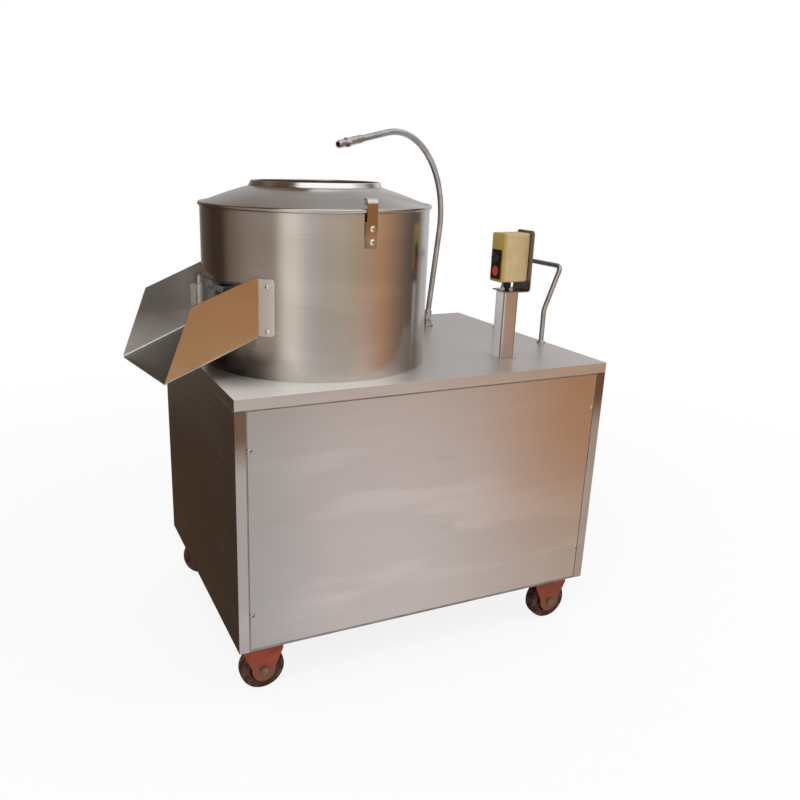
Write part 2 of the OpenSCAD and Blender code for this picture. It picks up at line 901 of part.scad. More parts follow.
// Open chute: a sloping floor, two walls and two flanges that lie on the drum.
module chute() {
    floor_in = chute_root - 40;
    floor_in_z = chute_low + 40 * tan(chute_slope);
    color("silver") {
        along_chute()
            difference() {
                union() {
                    translate([0, -chute_half + chute_t, 0])
                        chute_wall();
                    on_near_wall()
                        chute_wall();
                    difference() {
                        translate([0, chute_half + root_out + 5, 0])
                            rotate([90, 0, 0])
                                linear_extrude(chute_w + root_out + 5)
                                    polygon([[floor_in, floor_in_z], [chute_reach, chute_low_out],
                                             [chute_reach - 0.4 * chute_t, chute_low_out + chute_t],
                                             [floor_in, floor_in_z + chute_t * 1.1]]);
                        on_near_wall()
                            translate([0, -eps, -100])
                                cube([500, 100, 400]);
                    }
                }
                translate([0, 0, -50])
                    cylinder(r = drum_r, h = drum_h);
            }
        along_chute() {
            rotate([0, 0, near_from])
                chute_flange();
            mirror([0, 1, 0])
                rotate([0, 0, far_from])
                    chute_flange();
        }
    }
}

// Curved gate over the discharge opening, with its hinge knuckles on the far edge.
module gate() {
    color("silver")
        along_chute() {
            difference() {
                translate([0, 0, gate_bottom - top])
                    rotate([0, 0, -gate_edge_a])
                        rotate_extrude(angle = 2 * gate_edge_a)
                            translate([gate_in_r, 0])
                                square([gate_t, gate_top - gate_bottom]);
                translate([hinge_s, -hinge_w, gate_bottom + 8 + knuckle_h - top])
                    cylinder(r = knuckle_r + 0.6, h = gate_top - gate_bottom - 16 - 2 * knuckle_h);
            }
            for (z = [gate_bottom + 8, gate_top - 8 - knuckle_h])
                translate([hinge_s, -hinge_w, z - top])
                    ring(hinge_pin_d / 2 + running, knuckle_r, knuckle_h);
        }
}

// Pull bar of the gate, on two stand-offs.
module gate_handle() {
    bar_w0 = 18;
    bar_w1 = 92;
    bar_out = 14;
    bar_z = gate_top - top - 12;
    color("slategray")
        along_chute() {
            translate([gate_in_r + gate_t + bar_out - 4, bar_w0, bar_z])
                cube([4, bar_w1 - bar_w0, 10]);
            for (w = [bar_w0 + 6, bar_w1 - 14])
                difference() {
                    translate([gate_in_r - 40, w, bar_z + 1])
                        cube([gate_t + bar_out + 40 - 4 + eps, 8, 8]);
                    translate([0, 0, bar_z - 5])
                        cylinder(r = gate_in_r + gate_t, h = 30);
                }
        }
}

// Fixed hinge of the gate: a leaf on the chute's far wall, one knuckle and the pin.
module gate_hinge() {
    z0 = gate_bottom + 8 - top;
    z1 = gate_top - 8 - top;
    mid0 = z0 + knuckle_h + 0.5;
    mid1 = z1 - knuckle_h - 0.5;
    color("slategray")
        along_chute()
            difference() {
                union() {
                    translate([hinge_s, -hinge_w, z0 - 2])
                        cylinder(d = hinge_pin_d, h = z1 - z0 + 4);
                    translate([hinge_s, -hinge_w, mid0])
                        cylinder(r = knuckle_r, h = mid1 - mid0);
                    translate([hinge_s, -chute_half + chute_t, mid0])
                        cube([16, 2.5, mid1 - mid0]);
                    translate([hinge_s - 1, -chute_half + chute_t, mid0])
                        cube([2, chute_half - chute_t - hinge_w, mid1 - mid0]);
                }
                translate([0, 0, -1])
                    cylinder(r = drum_r + 0.3, h = drum_h);
            }
}

// ---------------------------------------------------------------- disc, shaft and housing

// Abrasive disc: a plate with a hub below, and raised waves above.
module peeling_disc() {
    wave_r = 60;
    wave_drop = wave_r - wave_h;
    color("saddlebrown")
        difference() {
            union() {
                on_drum()
                    translate([0, 0, disc_top - disc_t])
                        cylinder(r = disc_r, h = disc_t);
                translate([drum_x, drum_y, seal_z + 12])
                    cylinder(r = hub_r, h = disc_z - seal_z - 12);
                translate([drum_x, drum_y, seal_z - 10])
                    ring(neck_hole_r + 5, neck_hole_r + 9, disc_z - disc_t - seal_z + 10 + eps);
                intersection() {
                    on_drum()
                        for (i = [0:waves - 1])
                            rotate([0, 0, i * 360 / waves])
                                translate([46, 0, disc_top - wave_drop])
                                    rotate([0, 90, 0])
                                        cylinder(r = wave_r, h = disc_r);
                    on_drum()
                        translate([0, 0, disc_top - 1])
                            cylinder(r = disc_r, h = wave_h + 2);
                }
            }
            translate([drum_x, drum_y, seal_z])
                cylinder(d = shaft_d - 5, h = 100);
        }
}

// Cap nut that holds the disc.
module disc_nut() {
    color("silver")
        difference() {
            translate([drum_x, drum_y, disc_z]) {
                cylinder(d = 60, h = 4);
                translate([0, 0, 4])
                    cylinder(d = 46, h = 18, $fn = 6);
                translate([0, 0, 22])
                    intersection() {
                        sphere(20);
                        cylinder(r = 20, h = 20);
                    }
            }
            translate([drum_x, drum_y, disc_z - 1])
                cylinder(d = shaft_d - 5, h = shaft_top - disc_z + 1);
        }
}

// Main shaft, stepped for the disc's hub.
module main_shaft() {
    color("lightsteelblue")
        translate([drum_x, drum_y, 0]) {
            translate([0, 0, shaft_low])
                cylinder(d = shaft_d, h = seal_z + 12 - shaft_low);
            translate([0, 0, seal_z + 12 - eps])
                cylinder(d = shaft_d - 5, h = shaft_top - seal_z - 12 + eps);
        }
}

// Rubber paddles under the disc that sweep the waste to the drain.
module waste_paddles() {
    paddle_low = pan_z + floor_t + 4;
    color("black")
        for (i = [0:1])
            translate([drum_x, drum_y, paddle_low])
                rotate([0, 0, 90 * i])
                    for (side = [-1, 1])
                        translate([side > 0 ? 70 : -disc_r + 16, -4, 0])
                            cube([disc_r - 86, 8, disc_z - disc_t - paddle_low]);
}

// Outline of one V groove's two belts in a pulley's rim, as points from low to high.
function groove_points(r, z) = [
    [r, z - belt_w / 2 - belt_play],
    [r - belt_h - 3, z - belt_w / 2 + belt_slope - belt_play],
    [r - belt_h - 3, z + belt_w / 2 - belt_slope + belt_play],
    [r, z + belt_w / 2 + belt_play]
];

// Grooved rim of a pulley, solid from its inner radius.
module pulley_rim(r, r_in) {
    rotate_extrude()
        polygon(concat([[r_in, -pulley_half], [r, -pulley_half]],
                       groove_points(r, -belt_pitch / 2), groove_points(r, belt_pitch / 2),
                       [[r, pulley_half], [r_in, pulley_half]]));
}

module large_pulley() {
    spoke_holes = 5;
    hole_r = 34;
    color("darkgray")
        translate([drum_x, drum_y, belt_z]) {
            pulley_rim(big_r, big_r - 26);
            difference() {
                union() {
                    translate([0, 0, -6])
                        ring(shaft_d / 2, big_r - 26 + eps, 12);
                    translate([0, 0, -32])
                        ring(shaft_d / 2, 36, 60);
                }
                for (i = [0:spoke_holes - 1])
                    rotate([0, 0, i * 360 / spoke_holes])
                        translate([(big_r - 26 + 36) / 2, 0, -10])
                            cylinder(r = hole_r, h = 20);
            }
        }
}

// Flanged bearing housing under the top plate, with a neck up through the drum's floor.
module bearing_housing() {
    flange_z = under_top;
    housing_low = top - housing_l;
    neck_r = neck_hole_r;
    flange_x = housing_rail_x + 28;
    flange_y = housing_d / 2 + 12;
    color("dimgray")
        translate([drum_x, drum_y, 0]) {
            difference() {
                block([-flange_x, -flange_y, flange_z - angle_t - 10],
                      [flange_x, flange_y, flange_z - angle_t]);
                translate([0, 0, flange_z - 30])
                    cylinder(r = housing_d / 2 - 6, h = 40);
                for (x = [-1, 1], y = [-1, 1])
                    translate([x * housing_bolt_x, y * housing_bolt_y, flange_z - 20])
                        cylinder(d = 11, h = 20);
            }
            rotate_extrude()
                polygon([[bearing_d / 2, housing_low], [housing_d / 2, housing_low],
                         [housing_d / 2, flange_z - 26], [housing_d / 2 + 12, flange_z - 14],
                         [housing_rail_x - 12, flange_z - 14],
                         [housing_rail_x - 12, flange_z], [neck_r, flange_z],
                         [neck_r, seal_z + 10], [31, seal_z + 10], [31, seal_z],
                         [shaft_d / 2 + 4, seal_z], [shaft_d / 2 + 4, top + 8],
                         [bearing_d / 2, top + 8], [bearing_d / 2, top + 8 - bearing_w],
                         [shaft_d / 2 + 10, top + 8 - bearing_w],
                         [shaft_d / 2 + 10, housing_low + bearing_w], [bearing_d / 2, housing_low + bearing_w]]);
        }
}

// The two shaft bearings in their seats.
module bearings() {
    color("silver")
        for (z = [top - housing_l, top + 8 - bearing_w])
            translate([drum_x, drum_y, z])
                ring(shaft_d / 2 + running, bearing_d / 2, bearing_w);
}

module shaft_seal() {
    color("black")
        translate([drum_x, drum_y, seal_z])
            ring(shaft_d / 2 + running, 31, 9);
}

// Bolts through the housing's flange into its rails.
module housing_bolts() {
    color("silver")
        for (x = [-1, 1], y = [-1, 1])
            translate([drum_x + x * housing_bolt_x, drum_y + y * housing_bolt_y, under_top - 14])
                rotate([180, 0, 0])
                    hex_bolt(10, 10);
}

// ---------------------------------------------------------------- belts and motor

// Cross-section of a V-belt, its outer face at radius r, drawn in all round by a hair.
module belt_section(r, hair = 0) {
    polygon([[r - hair, -belt_w / 2 + hair], [r - hair, belt_w / 2 - hair],
             [r - belt_h + hair, belt_w / 2 - belt_slope - hair],
             [r - belt_h + hair, -belt_w / 2 + belt_slope + hair]]);
}

// One V-belt: an arc round each pulley and two straight runs that lap into the arcs.
module v_belt() {
    run = sqrt(belt_centres * belt_centres - pow(big_r - small_r, 2));
    lap = 0.3;
    rotate([0, 0, wrap])
        rotate_extrude(angle = 360 - 2 * wrap)
            belt_section(big_r);
    translate([belt_centres, 0, 0])
        rotate([0, 0, -wrap])
            rotate_extrude(angle = 2 * wrap)
                belt_section(small_r);
    for (side = [0, 1])
        mirror([0, side, 0])
            rotate([0, 0, wrap])
                translate([0, lap, 0])
                    rotate([90, 0, 0])
                        linear_extrude(run + 2 * lap)
                            belt_section(big_r, 0.02);
}

module v_belts() {
    color("black")
        for (z = belt_levels)
            translate([drum_x, drum_y, z])
                v_belt();
}

// Sliding plate that carries the motor, slotted so that the belts can be tightened.
module motor_plate() {
    slot = 30;
    color("dimgray")
        difference() {
            translate([motor_x - motor_plate_l / 2, motor_y - motor_plate_w / 2, mid_rail_z])
                cube([motor_plate_l, motor_plate_w, motor_plate_t]);
            translate([motor_x, motor_y, mid_rail_z - 1])
                cylinder(r = motor_spigot_d / 2 + 3, h = motor_plate_t + 2);
            for (x = [-1, 1], y = [-1, 1])
                translate([motor_x + x * slide_bolt_x, motor_y + y * slide_bolt_y, mid_rail_z - 1]) {
                    translate([-slot / 2, -5.5, 0])
                        cube([slot, 11, motor_plate_t + 2]);
                    for (end = [-1, 1])
                        translate([end * slot / 2, 0, 0])
                            cylinder(r = 5.5, h = motor_plate_t + 2);
                }
        }
}

// Bolts of the motor's flange and of its sliding plate.
module motor_bolts() {
    color("silver") {
        for (a = [45:90:315])
            translate([motor_x, motor_y, plate_top])
                rotate([0, 0, a])
                    translate([motor_flange_d / 2 - 14, 0, 0])
                        cylinder(d = 18, h = 7, $fn = 6);
        for (x = [-1, 1], y = [-1, 1])
            translate([motor_x + x * slide_bolt_x, motor_y + y * slide_bolt_y, plate_top]) {
                cylinder(r = 13, h = 2);
                translate([0, 0, 2 - eps])
                    cylinder(d = 18, h = 7, $fn = 6);
            }
    }
}

// Motor body with its flange and cooling fins.
module motor_body() {
    fins = 28;
    fin_t = 2.6;
    fin_h = 12;
    core_r = motor_d / 2 - fin_h;
    color("steelblue")
        translate([motor_x, motor_y, 0])
            difference() {
                union() {
                    translate([0, 0, motor_top])
                        cylinder(d = motor_flange_d, h = mid_rail_z - motor_top);
                    translate([0, 0, motor_top])
                        cylinder(d = motor_spigot_d, h = motor_plate_t + 12 - 1);
                    translate([0, 0, motor_low])
                        cylinder(r = core_r, h = motor_l + eps);
                    translate([0, 0, motor_low])
                        cylinder(d = motor_d - 4, h = 14);
                    for (i = [0:fins - 1])
                        rotate([0, 0, i * 360 / fins])
                            translate([core_r - 2, -fin_t / 2, motor_low + 10])
                                cube([fin_h + 2, fin_t, motor_l - 22]);
                }
                translate([0, 0, motor_low - 1])
                    cylinder(d = motor_shaft_d + 2 * running, h = motor_l + 60);
            }
}

module motor_terminal_box() {
    box_w = 90;
    box_h = 90;
    color("steelblue")
        difference() {
            translate([motor_x + motor_d / 2 - 16, motor_y - box_w / 2, motor_top - 120])
                cube([54, box_w, box_h]);
            translate([motor_x, motor_y, motor_low])
                cylinder(d = motor_d, h = motor_l);
        }
}

// Fan cover: a cup with a ring of air slots in its end.
module motor_fan_cover() {
    slots = 12;
    color("steelblue")
        translate([motor_x, motor_y, motor_low - fan_cover_l])
            difference() {
                cylinder(d = motor_d, h = fan_cover_l);
                translate([0, 0, cover_t])
                    cylinder(d = motor_d - 2 * cover_t, h = fan_cover_l);
                for (i = [0:slots - 1])
                    rotate([0, 0, i * 360 / slots])
                        translate([24, -4, -1])
                            cube([motor_d / 2 - 40, 8, cover_t + 2]);
            }
}

module motor_fan() {
    blades = 7;
    color("black")
        translate([motor_x, motor_y, motor_low - fan_cover_l + 12]) {
            ring(motor_shaft_d / 2, 24, 24);
            ring(23, motor_d / 2 - 10, 2);
            for (i = [0:blades - 1])
                rotate([0, 0, i * 360 / blades])
                    translate([22, -1.5, 0])
                        cube([motor_d / 2 - 34, 3, 22]);
        }
}

module motor_shaft() {
    shaft_end = motor_low - fan_cover_l + 10;
    color("lightsteelblue")
        translate([motor_x, motor_y, shaft_end])
            cylinder(d = motor_shaft_d, h = belt_z + pulley_half + 2 - shaft_end);
}

module motor_pulley() {
    color("darkgray")
        translate([motor_x, motor_y, belt_z])
            pulley_rim(small_r, motor_shaft_d / 2);
}

// ---------------------------------------------------------------- water

// Drain pipe from the drum's floor down, round a bend and out at the back.
module drain_pipe() {
    bend_r = drain_d * 1.2;
    pipe_t = 2;
    nut_h = 6;
    run = back + drain_out - (drum_y + drain_at * sin(drain_angle)) - bend_r;
    color("gray")
        translate([drain_out_x, drum_y + drain_at * sin(drain_angle), drain_z]) {
            translate([0, 0, bend_r])
                ring(drain_r - pipe_t, drain_r, pan_z + floor_t - drain_z - bend_r);
            translate([0, bend_r, bend_r])
                rotate([0, 90, 0])
                    rotate([0, 0, -90])
                        rotate_extrude(angle = 90)
                            translate([bend_r, 0])
                                difference() {
                                    circle(drain_r);
                                    circle(drain_r - pipe_t);
                                }
            translate([0, bend_r, 0])
                rotate([-90, 0, 0])
                    ring(drain_r - pipe_t, drain_r, run);
            for (y = [run - drain_out, run - drain_out - sheet - nut_h])
                translate([0, bend_r + y, 0])
                    rotate([-90, 0, 0])
                        difference() {
                            cylinder(r = drain_r + 9, h = nut_h, $fn = 6);
                            translate([0, 0, -1])
                                cylinder(r = drain_r - 1, h = nut_h + 2);
                        }
        }
}

// Water inlet at the back: a bulkhead nut, a pipe end, and the pipe up to the gooseneck's foot.
module water_inlet() {
    pipe_r = 7;
    bend_r = 25;
    depth = back + inlet_out - neck_y;
    color("silver")
        translate([neck_x, neck_y, inlet_z]) {
            translate([0, bend_r, 0])
                rotate([-90, 0, 0])
                    cylinder(r = pipe_r, h = depth - bend_r - inlet_out - 18);
            translate([0, depth - inlet_out - 18, 0])
                rotate([-90, 0, 0])
                    cylinder(d = inlet_d, h = inlet_out + 18);
            for (y = [depth - inlet_out, depth - inlet_out - sheet - 8])
                translate([0, y, 0])
                    rotate([-90, 0, 0])
                        cylinder(r = inlet_nut_r, h = 8, $fn = 6);
            translate([0, bend_r, bend_r])
                rotate([0, 90, 0])
                    rotate([0, 0, -90])
                        rotate_extrude(angle = 90)
                            translate([bend_r, 0])
                                circle(pipe_r);
            translate([0, 0, bend_r])
                cylinder(r = pipe_r, h = under_top - 10 - inlet_z - bend_r);
        }
}

// Fixed foot of the gooseneck, clamped through the top plate.
module gooseneck_base() {
    color("silver")
        translate([neck_x, neck_y, 0]) {
            translate([0, 0, under_top - 10])
                cylinder(r = 11, h = sheet + 10 + eps);
            translate([0, 0, under_top - 8])
                cylinder(d = 34, h = 8, $fn = 6);
            translate([0, 0, top])
                cylinder(r = 17, h = 5);
            translate([0, 0, top + 5])
                cylinder(d = 30, h = 10, $fn = 6);
        }
}

// The gooseneck: a swivel nut, the leaning part, the bend and the falling part.
module gooseneck() {
    arc = 90 + neck_lean + neck_fall;
    color("silver")
        translate([neck_x, neck_y, top])
            rotate([0, 0, neck_turn]) {
                translate([0, 0, 15.3])
                    cylinder(r = 12, h = 12);
                rotate([0, -neck_lean, 0]) {
                    translate([0, 0, 20])
                        cylinder(r = neck_d / 2 + 2.5, h = 18);
                    translate([neck_r, 0, neck_rise])
                        rotate([90, 0, 0])
                            rotate([0, 0, 180 - arc]) {
                                rotate_extrude(angle = arc)
                                    translate([neck_r, 0])
                                        circle(d = neck_d);
                                translate([neck_r, 0, 0]) {
                                    sphere(d = neck_d + bead);
                                    translate([0, -bead, 0])
                                        rotate([90, 0, 0])
                                            cylinder(d = neck_d, h = neck_out - bead);
                                }
                                rotate([0, 0, arc])
                                    translate([neck_r, 0, 0]) {
                                        sphere(d = neck_d + bead);
                                        translate([0, bead, 0])
                                            rotate([-90, 0, 0])
                                                cylinder(d = neck_d, h = neck_rise - 38 - bead);
                                    }
                            }
                }
            }
}

// Moves children to the end of the gooseneck's bend, +Z along its falling part.
module neck_end() {
    arc = 90 + neck_lean + neck_fall;
    rotate([0, -neck_lean, 0])
        translate([neck_r, 0, neck_rise])
            rotate([0, arc, 0])
                translate([-neck_r, 0, 0])
                    children();
}

// Nozzle: a sleeve, a hexagon collar, a neck and a flared tip with an open bore.
module nozzle() {
    sleeve_l = 42;
    color("gray")
        translate([neck_x, neck_y, top])
            rotate([0, 0, neck_turn])
                neck_end()
                    translate([0, 0, neck_out])
                        difference() {
                            union() {
                                rotate_extrude()
                                    polygon([[0, 0], [neck_d / 2 + 1, 0], [neck_d / 2 + 1.5, 1],
                                             [neck_d / 2 + 1.5, sleeve_l], [6.5, sleeve_l + 9], [6.5, 56],
                                             [8, 59], [8, 71], [7, 76], [0, 76]]);
                                translate([0, 0, sleeve_l])
                                    cylinder(r = 10.5, h = 9, $fn = 6);
                            }
                            translate([0, 0, -1])
                                cylinder(r = 4, h = 90);
                        }
}

// ---------------------------------------------------------------- switch

// Square post with a foot plate, open at the top for the cable.
module switch_post() {
    post_t = 2;
    foot = post_side + 8;
    color("silver")
        translate([post_x, post_y, top])
            difference() {
                union() {
                    translate([-foot / 2, -foot / 2, 0])
                        cube([foot, foot, 2]);
                    translate([-post_side / 2, -post_side / 2, 0])
                        cube([post_side, post_side, post_h]);
                }
                translate([-post_side / 2 + post_t, -post_side / 2 + post_t, 3])
                    cube([post_side - 2 * post_t, post_side - 2 * post_t, post_h]);
                translate([0, 0, -1])
                    cylinder(r = 9, h = 10);
            }
}

// Bent bracket: a plate on the post and an upright behind the switch box.
module switch_bracket() {
    x0 = post_x - post_side / 2 - 3;
    color("silver")
        difference() {
            union() {
                block([x0, bracket_y0, bracket_z], [box_x1 + bracket_t, bracket_y1, bracket_z + bracket_t]);
                block([box_x1, bracket_y0, bracket_z], [box_x1 + bracket_t, bracket_y1, box_z1 + 5]);
            }
            translate([post_x - 2, post_y, bracket_z - 1])
                cylinder(r = 12, h = bracket_t + 2);
        }
}

// Back shell of the switch.
module switch_box() {
    wall = 3;
    color("wheat")
        difference() {
            block([box_x0 + cover_d, box_y0, box_z0], [box_x1, box_y1, box_z1]);
            block([box_x0 + cover_d - 1, box_y0 + wall, box_z0 + wall],
                  [box_x1 - wall, box_y1 - wall, box_z1 - wall]);
        }
}

// Face of the switch, with the two button holes and a raised label field.
module switch_cover() {
    color("gold")
        difference() {
            union() {
                block([box_x0, box_y0, box_z0], [box_x0 + cover_d, box_y1, box_z1]);
                block([box_x0 - 0.6, box_y0 + 4, on_z + 22], [box_x0 + 1, box_y1 - 4, box_z1 - 5]);
            }
            for (z = [on_z, off_z])
                translate([box_x0 - 5, button_y, z])
                    rotate([0, 90, 0])
                        cylinder(r = button_d / 2 + button_gap, h = 20);
        }
}

// Black surround of the two buttons, with a raised ring round each.
module button_plate() {
    color("black")
        difference() {
            union() {
                block([box_x0 - 2, button_y - 16, off_z - 16], [box_x0, button_y + 16, on_z + 17]);
                for (z = [on_z, off_z])
                    translate([box_x0 - 3.5, button_y, z])
                        rotate([0, 90, 0])
                            cylinder(d = button_d + 3, h = 2);
            }
            for (z = [on_z, off_z])
                translate([box_x0 - 10, button_y, z])
                    rotate([0, 90, 0])
                        cylinder(r = button_d / 2 + button_gap, h = 30);
        }
}

// One push button, its face a given distance out of the cover.
module push_button(z, out) {
    translate([box_x0 - out, button_y, z])
        rotate([0, 90, 0]) {
            translate([0, 0, 1])
                cylinder(d = button_d, h = button_l - 1);
            cylinder(d1 = button_d - 2, d2 = button_d, h = 1);
        }
}

module on_button() { color("darkgreen") push_button(on_z, button_out); }
module off_button() { color("red") push_button(off_z, button_out - button_travel); }

// Cable from the box down into the post, held by a gland under the box.
module switch_cable() {
    color("black")
        translate([post_x - 2, post_y, 0]) {
            translate([0, 0, bracket_z + bracket_t + 3])
                cylinder(d = 16, h = box_z0 - bracket_z - bracket_t - 3);
            translate([0, 0, bracket_z - 60])
                cylinder(d = 9, h = box_z0 - bracket_z + 58);
        }
}

// ---------------------------------------------------------------- handle and gland

// A tube bend that starts upwards at the origin and turns towards +X.
module tube_bend(r, turn, d) {
    translate([r, 0, 0])
        rotate([90, 0, 0])
            rotate([0, 0, 180 - turn])
                rotate_extrude(angle = turn)
                    translate([r, 0])
                        circle(d = d);
}

// Moves children to the upper end of a handle leg's knee, +Z along the leaning part.
module handle_upper() {
    translate([knee_r * (1 - cos(handle_lean)), 0, knee_z + knee_r * sin(handle_lean)])
        rotate([0, handle_lean, 0])
            children();
}

// One leg of the push handle, with its foot, its knee and the bend into the grip.
module handle_leg() {
    cylinder(d = handle_d + 9, h = 3);
    cylinder(d = handle_d, h = knee_z - bead);
    translate([0, 0, knee_z]) {
        sphere(d = handle_d + bead);
        tube_bend(knee_r, handle_lean, handle_d);
    }
    handle_upper() {
        sphere(d = handle_d + bead);
        translate([0, 0, bead])
            cylinder(d = handle_d, h = leg_l - grip_r - 2 * bead);
        translate([0, 0, leg_l - grip_r]) {
            sphere(d = handle_d + bead);
            rotate([0, 0, 90])
                tube_bend(grip_r, 90, handle_d);
        }
    }
}

// Bent-tube push handle with two legs and a grip bar.
module push_handle() {
    grip_l = handle_span - 2 * grip_r;
    color("silver")
        translate([right - handle_in, (front + back) / 2, top]) {
            for (side = [0, 1])
                mirror([0, side, 0])
                    translate([0, -handle_span / 2, 0])
                        handle_leg();
            translate([0, -handle_span / 2 + grip_r, 0])
                handle_upper()
                    translate([0, 0, leg_l])
                        rotate([-90, 0, 0]) {
                            sphere(d = handle_d + bead);
                            translate([0, 0, bead])
                                cylinder(d = handle_d, h = grip_l - 2 * bead);
                            translate([0, 0, grip_l])
                                sphere(d = handle_d + bead);
                        }
        }
}

// Gland for the mains cable in the back panel.
module mains_gland() {
    color("black")
        translate([gland_x, back, gland_z])
            rotate([-90, 0, 0])
                difference() {
                    union() {
                        translate([0, 0, -sheet - 12])
                            cylinder(d = gland_d, h = sheet + 16);
                        cylinder(d = 28, h = 6, $fn = 6);
                        translate([0, 0, 4])
                            cylinder(d1 = 24, d2 = 18, h = 14);
                        translate([0, 0, -sheet - 6])
                            cylinder(d = 28, h = 6, $fn = 6);
                    }
                    translate([0, 0, -30])
                        cylinder(d = 9, h = 60);
                }
}

frame();
top_plate();
left_panel();
right_panel();
back_panel();
front_panel();
panel_screws();
caster_forks();
caster_axles();
wheel_front_left();
wheel_front_right();
wheel_back_left();
wheel_back_right();
tyre_front_left();
tyre_front_right();
tyre_back_left();
tyre_back_right();
drum_shell();
drum_floor();
abrasive_lining();
lid();
lid_clips();
drum_screws();
chute();
gate();
gate_handle();
gate_hinge();
peeling_disc();
disc_nut();
main_shaft();
large_pulley();
waste_paddles();
bearing_housing();
bearings();
shaft_seal();
housing_bolts();
v_belts();
motor_body();
motor_terminal_box();
motor_fan_cover();
motor_fan();
motor_shaft();
motor_pulley();
motor_plate();
motor_bolts();
drain_pipe();
water_inlet();
gooseneck_base();
gooseneck();
nozzle();
switch_post();
switch_bracket();
switch_box();
switch_cover();
button_plate();
on_button();
off_button();
switch_cable();
push_handle();
mains_gland();
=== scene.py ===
import json
import math

import bmesh
import bpy
from mathutils import Matrix, Vector


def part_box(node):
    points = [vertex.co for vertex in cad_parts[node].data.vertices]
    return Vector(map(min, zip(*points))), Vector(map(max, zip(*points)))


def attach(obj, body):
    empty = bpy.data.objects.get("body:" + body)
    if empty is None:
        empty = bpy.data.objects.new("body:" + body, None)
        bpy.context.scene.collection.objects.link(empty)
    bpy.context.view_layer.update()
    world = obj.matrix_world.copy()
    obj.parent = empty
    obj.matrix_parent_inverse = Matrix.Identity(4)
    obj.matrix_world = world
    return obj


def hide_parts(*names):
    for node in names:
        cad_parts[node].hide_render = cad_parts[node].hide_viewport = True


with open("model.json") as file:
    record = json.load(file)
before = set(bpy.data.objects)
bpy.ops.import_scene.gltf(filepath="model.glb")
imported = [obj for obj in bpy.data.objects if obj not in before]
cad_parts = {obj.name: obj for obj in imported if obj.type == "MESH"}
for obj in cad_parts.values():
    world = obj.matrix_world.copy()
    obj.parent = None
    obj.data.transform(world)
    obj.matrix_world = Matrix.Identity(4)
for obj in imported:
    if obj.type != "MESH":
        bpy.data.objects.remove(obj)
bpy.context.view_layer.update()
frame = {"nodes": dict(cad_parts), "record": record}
scene = bpy.context.scene
nodes = frame["nodes"]

# ------------------------------------------------------------------ places taken from the frame
cabinet_low, cabinet_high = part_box("top_plate")
left, front, top = cabinet_low.x, cabinet_low.y, cabinet_high.z
right, back = cabinet_high.x, cabinet_high.y
shell_low, shell_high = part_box("drum_shell")
drum = Vector(((shell_low.x + shell_high.x) / 2, (shell_low.y + shell_high.y) / 2, top))
drum_r = (shell_high.x - shell_low.x) / 2
rim_z = shell_high.z


# ------------------------------------------------------------------ shader maths
class Wire:
    """A value in a material; arithmetic on it adds Math nodes."""

    def __init__(self, finish, socket):
        self.finish = finish
        self.socket = socket

    def _math(self, operation, first, second):
        return self.finish.node("ShaderNodeMath", {"operation": operation}, (first, second))

    def __add__(self, other):
        return self._math("ADD", self, other)

    def __radd__(self, other):
        return self._math("ADD", other, self)

    def __sub__(self, other):
        return self._math("SUBTRACT", self, other)

    def __rsub__(self, other):
        return self._math("SUBTRACT", other, self)

    def __mul__(self, other):
        return self._math("MULTIPLY", self, other)

    def __rmul__(self, other):
        return self._math("MULTIPLY", other, self)

    def __truediv__(self, other):
        return self._math("DIVIDE", self, other)

    def __pow__(self, other):
        return self._math("POWER", self, other)

    def rise(self, low, high):
        """0 below low, 1 above high, smooth between."""
        return self.finish.node("ShaderNodeMapRange", {"interpolation_type": "SMOOTHSTEP"},
                                (self, low, high, 0.0, 1.0))

    def fall(self, low, high):
        """1 below low, 0 above high, smooth between."""
        return 1.0 - self.rise(low, high)

    def beside(self, output):
        """Another output of the node that this value comes from."""
        return Wire(self.finish, self.socket.node.outputs[output])


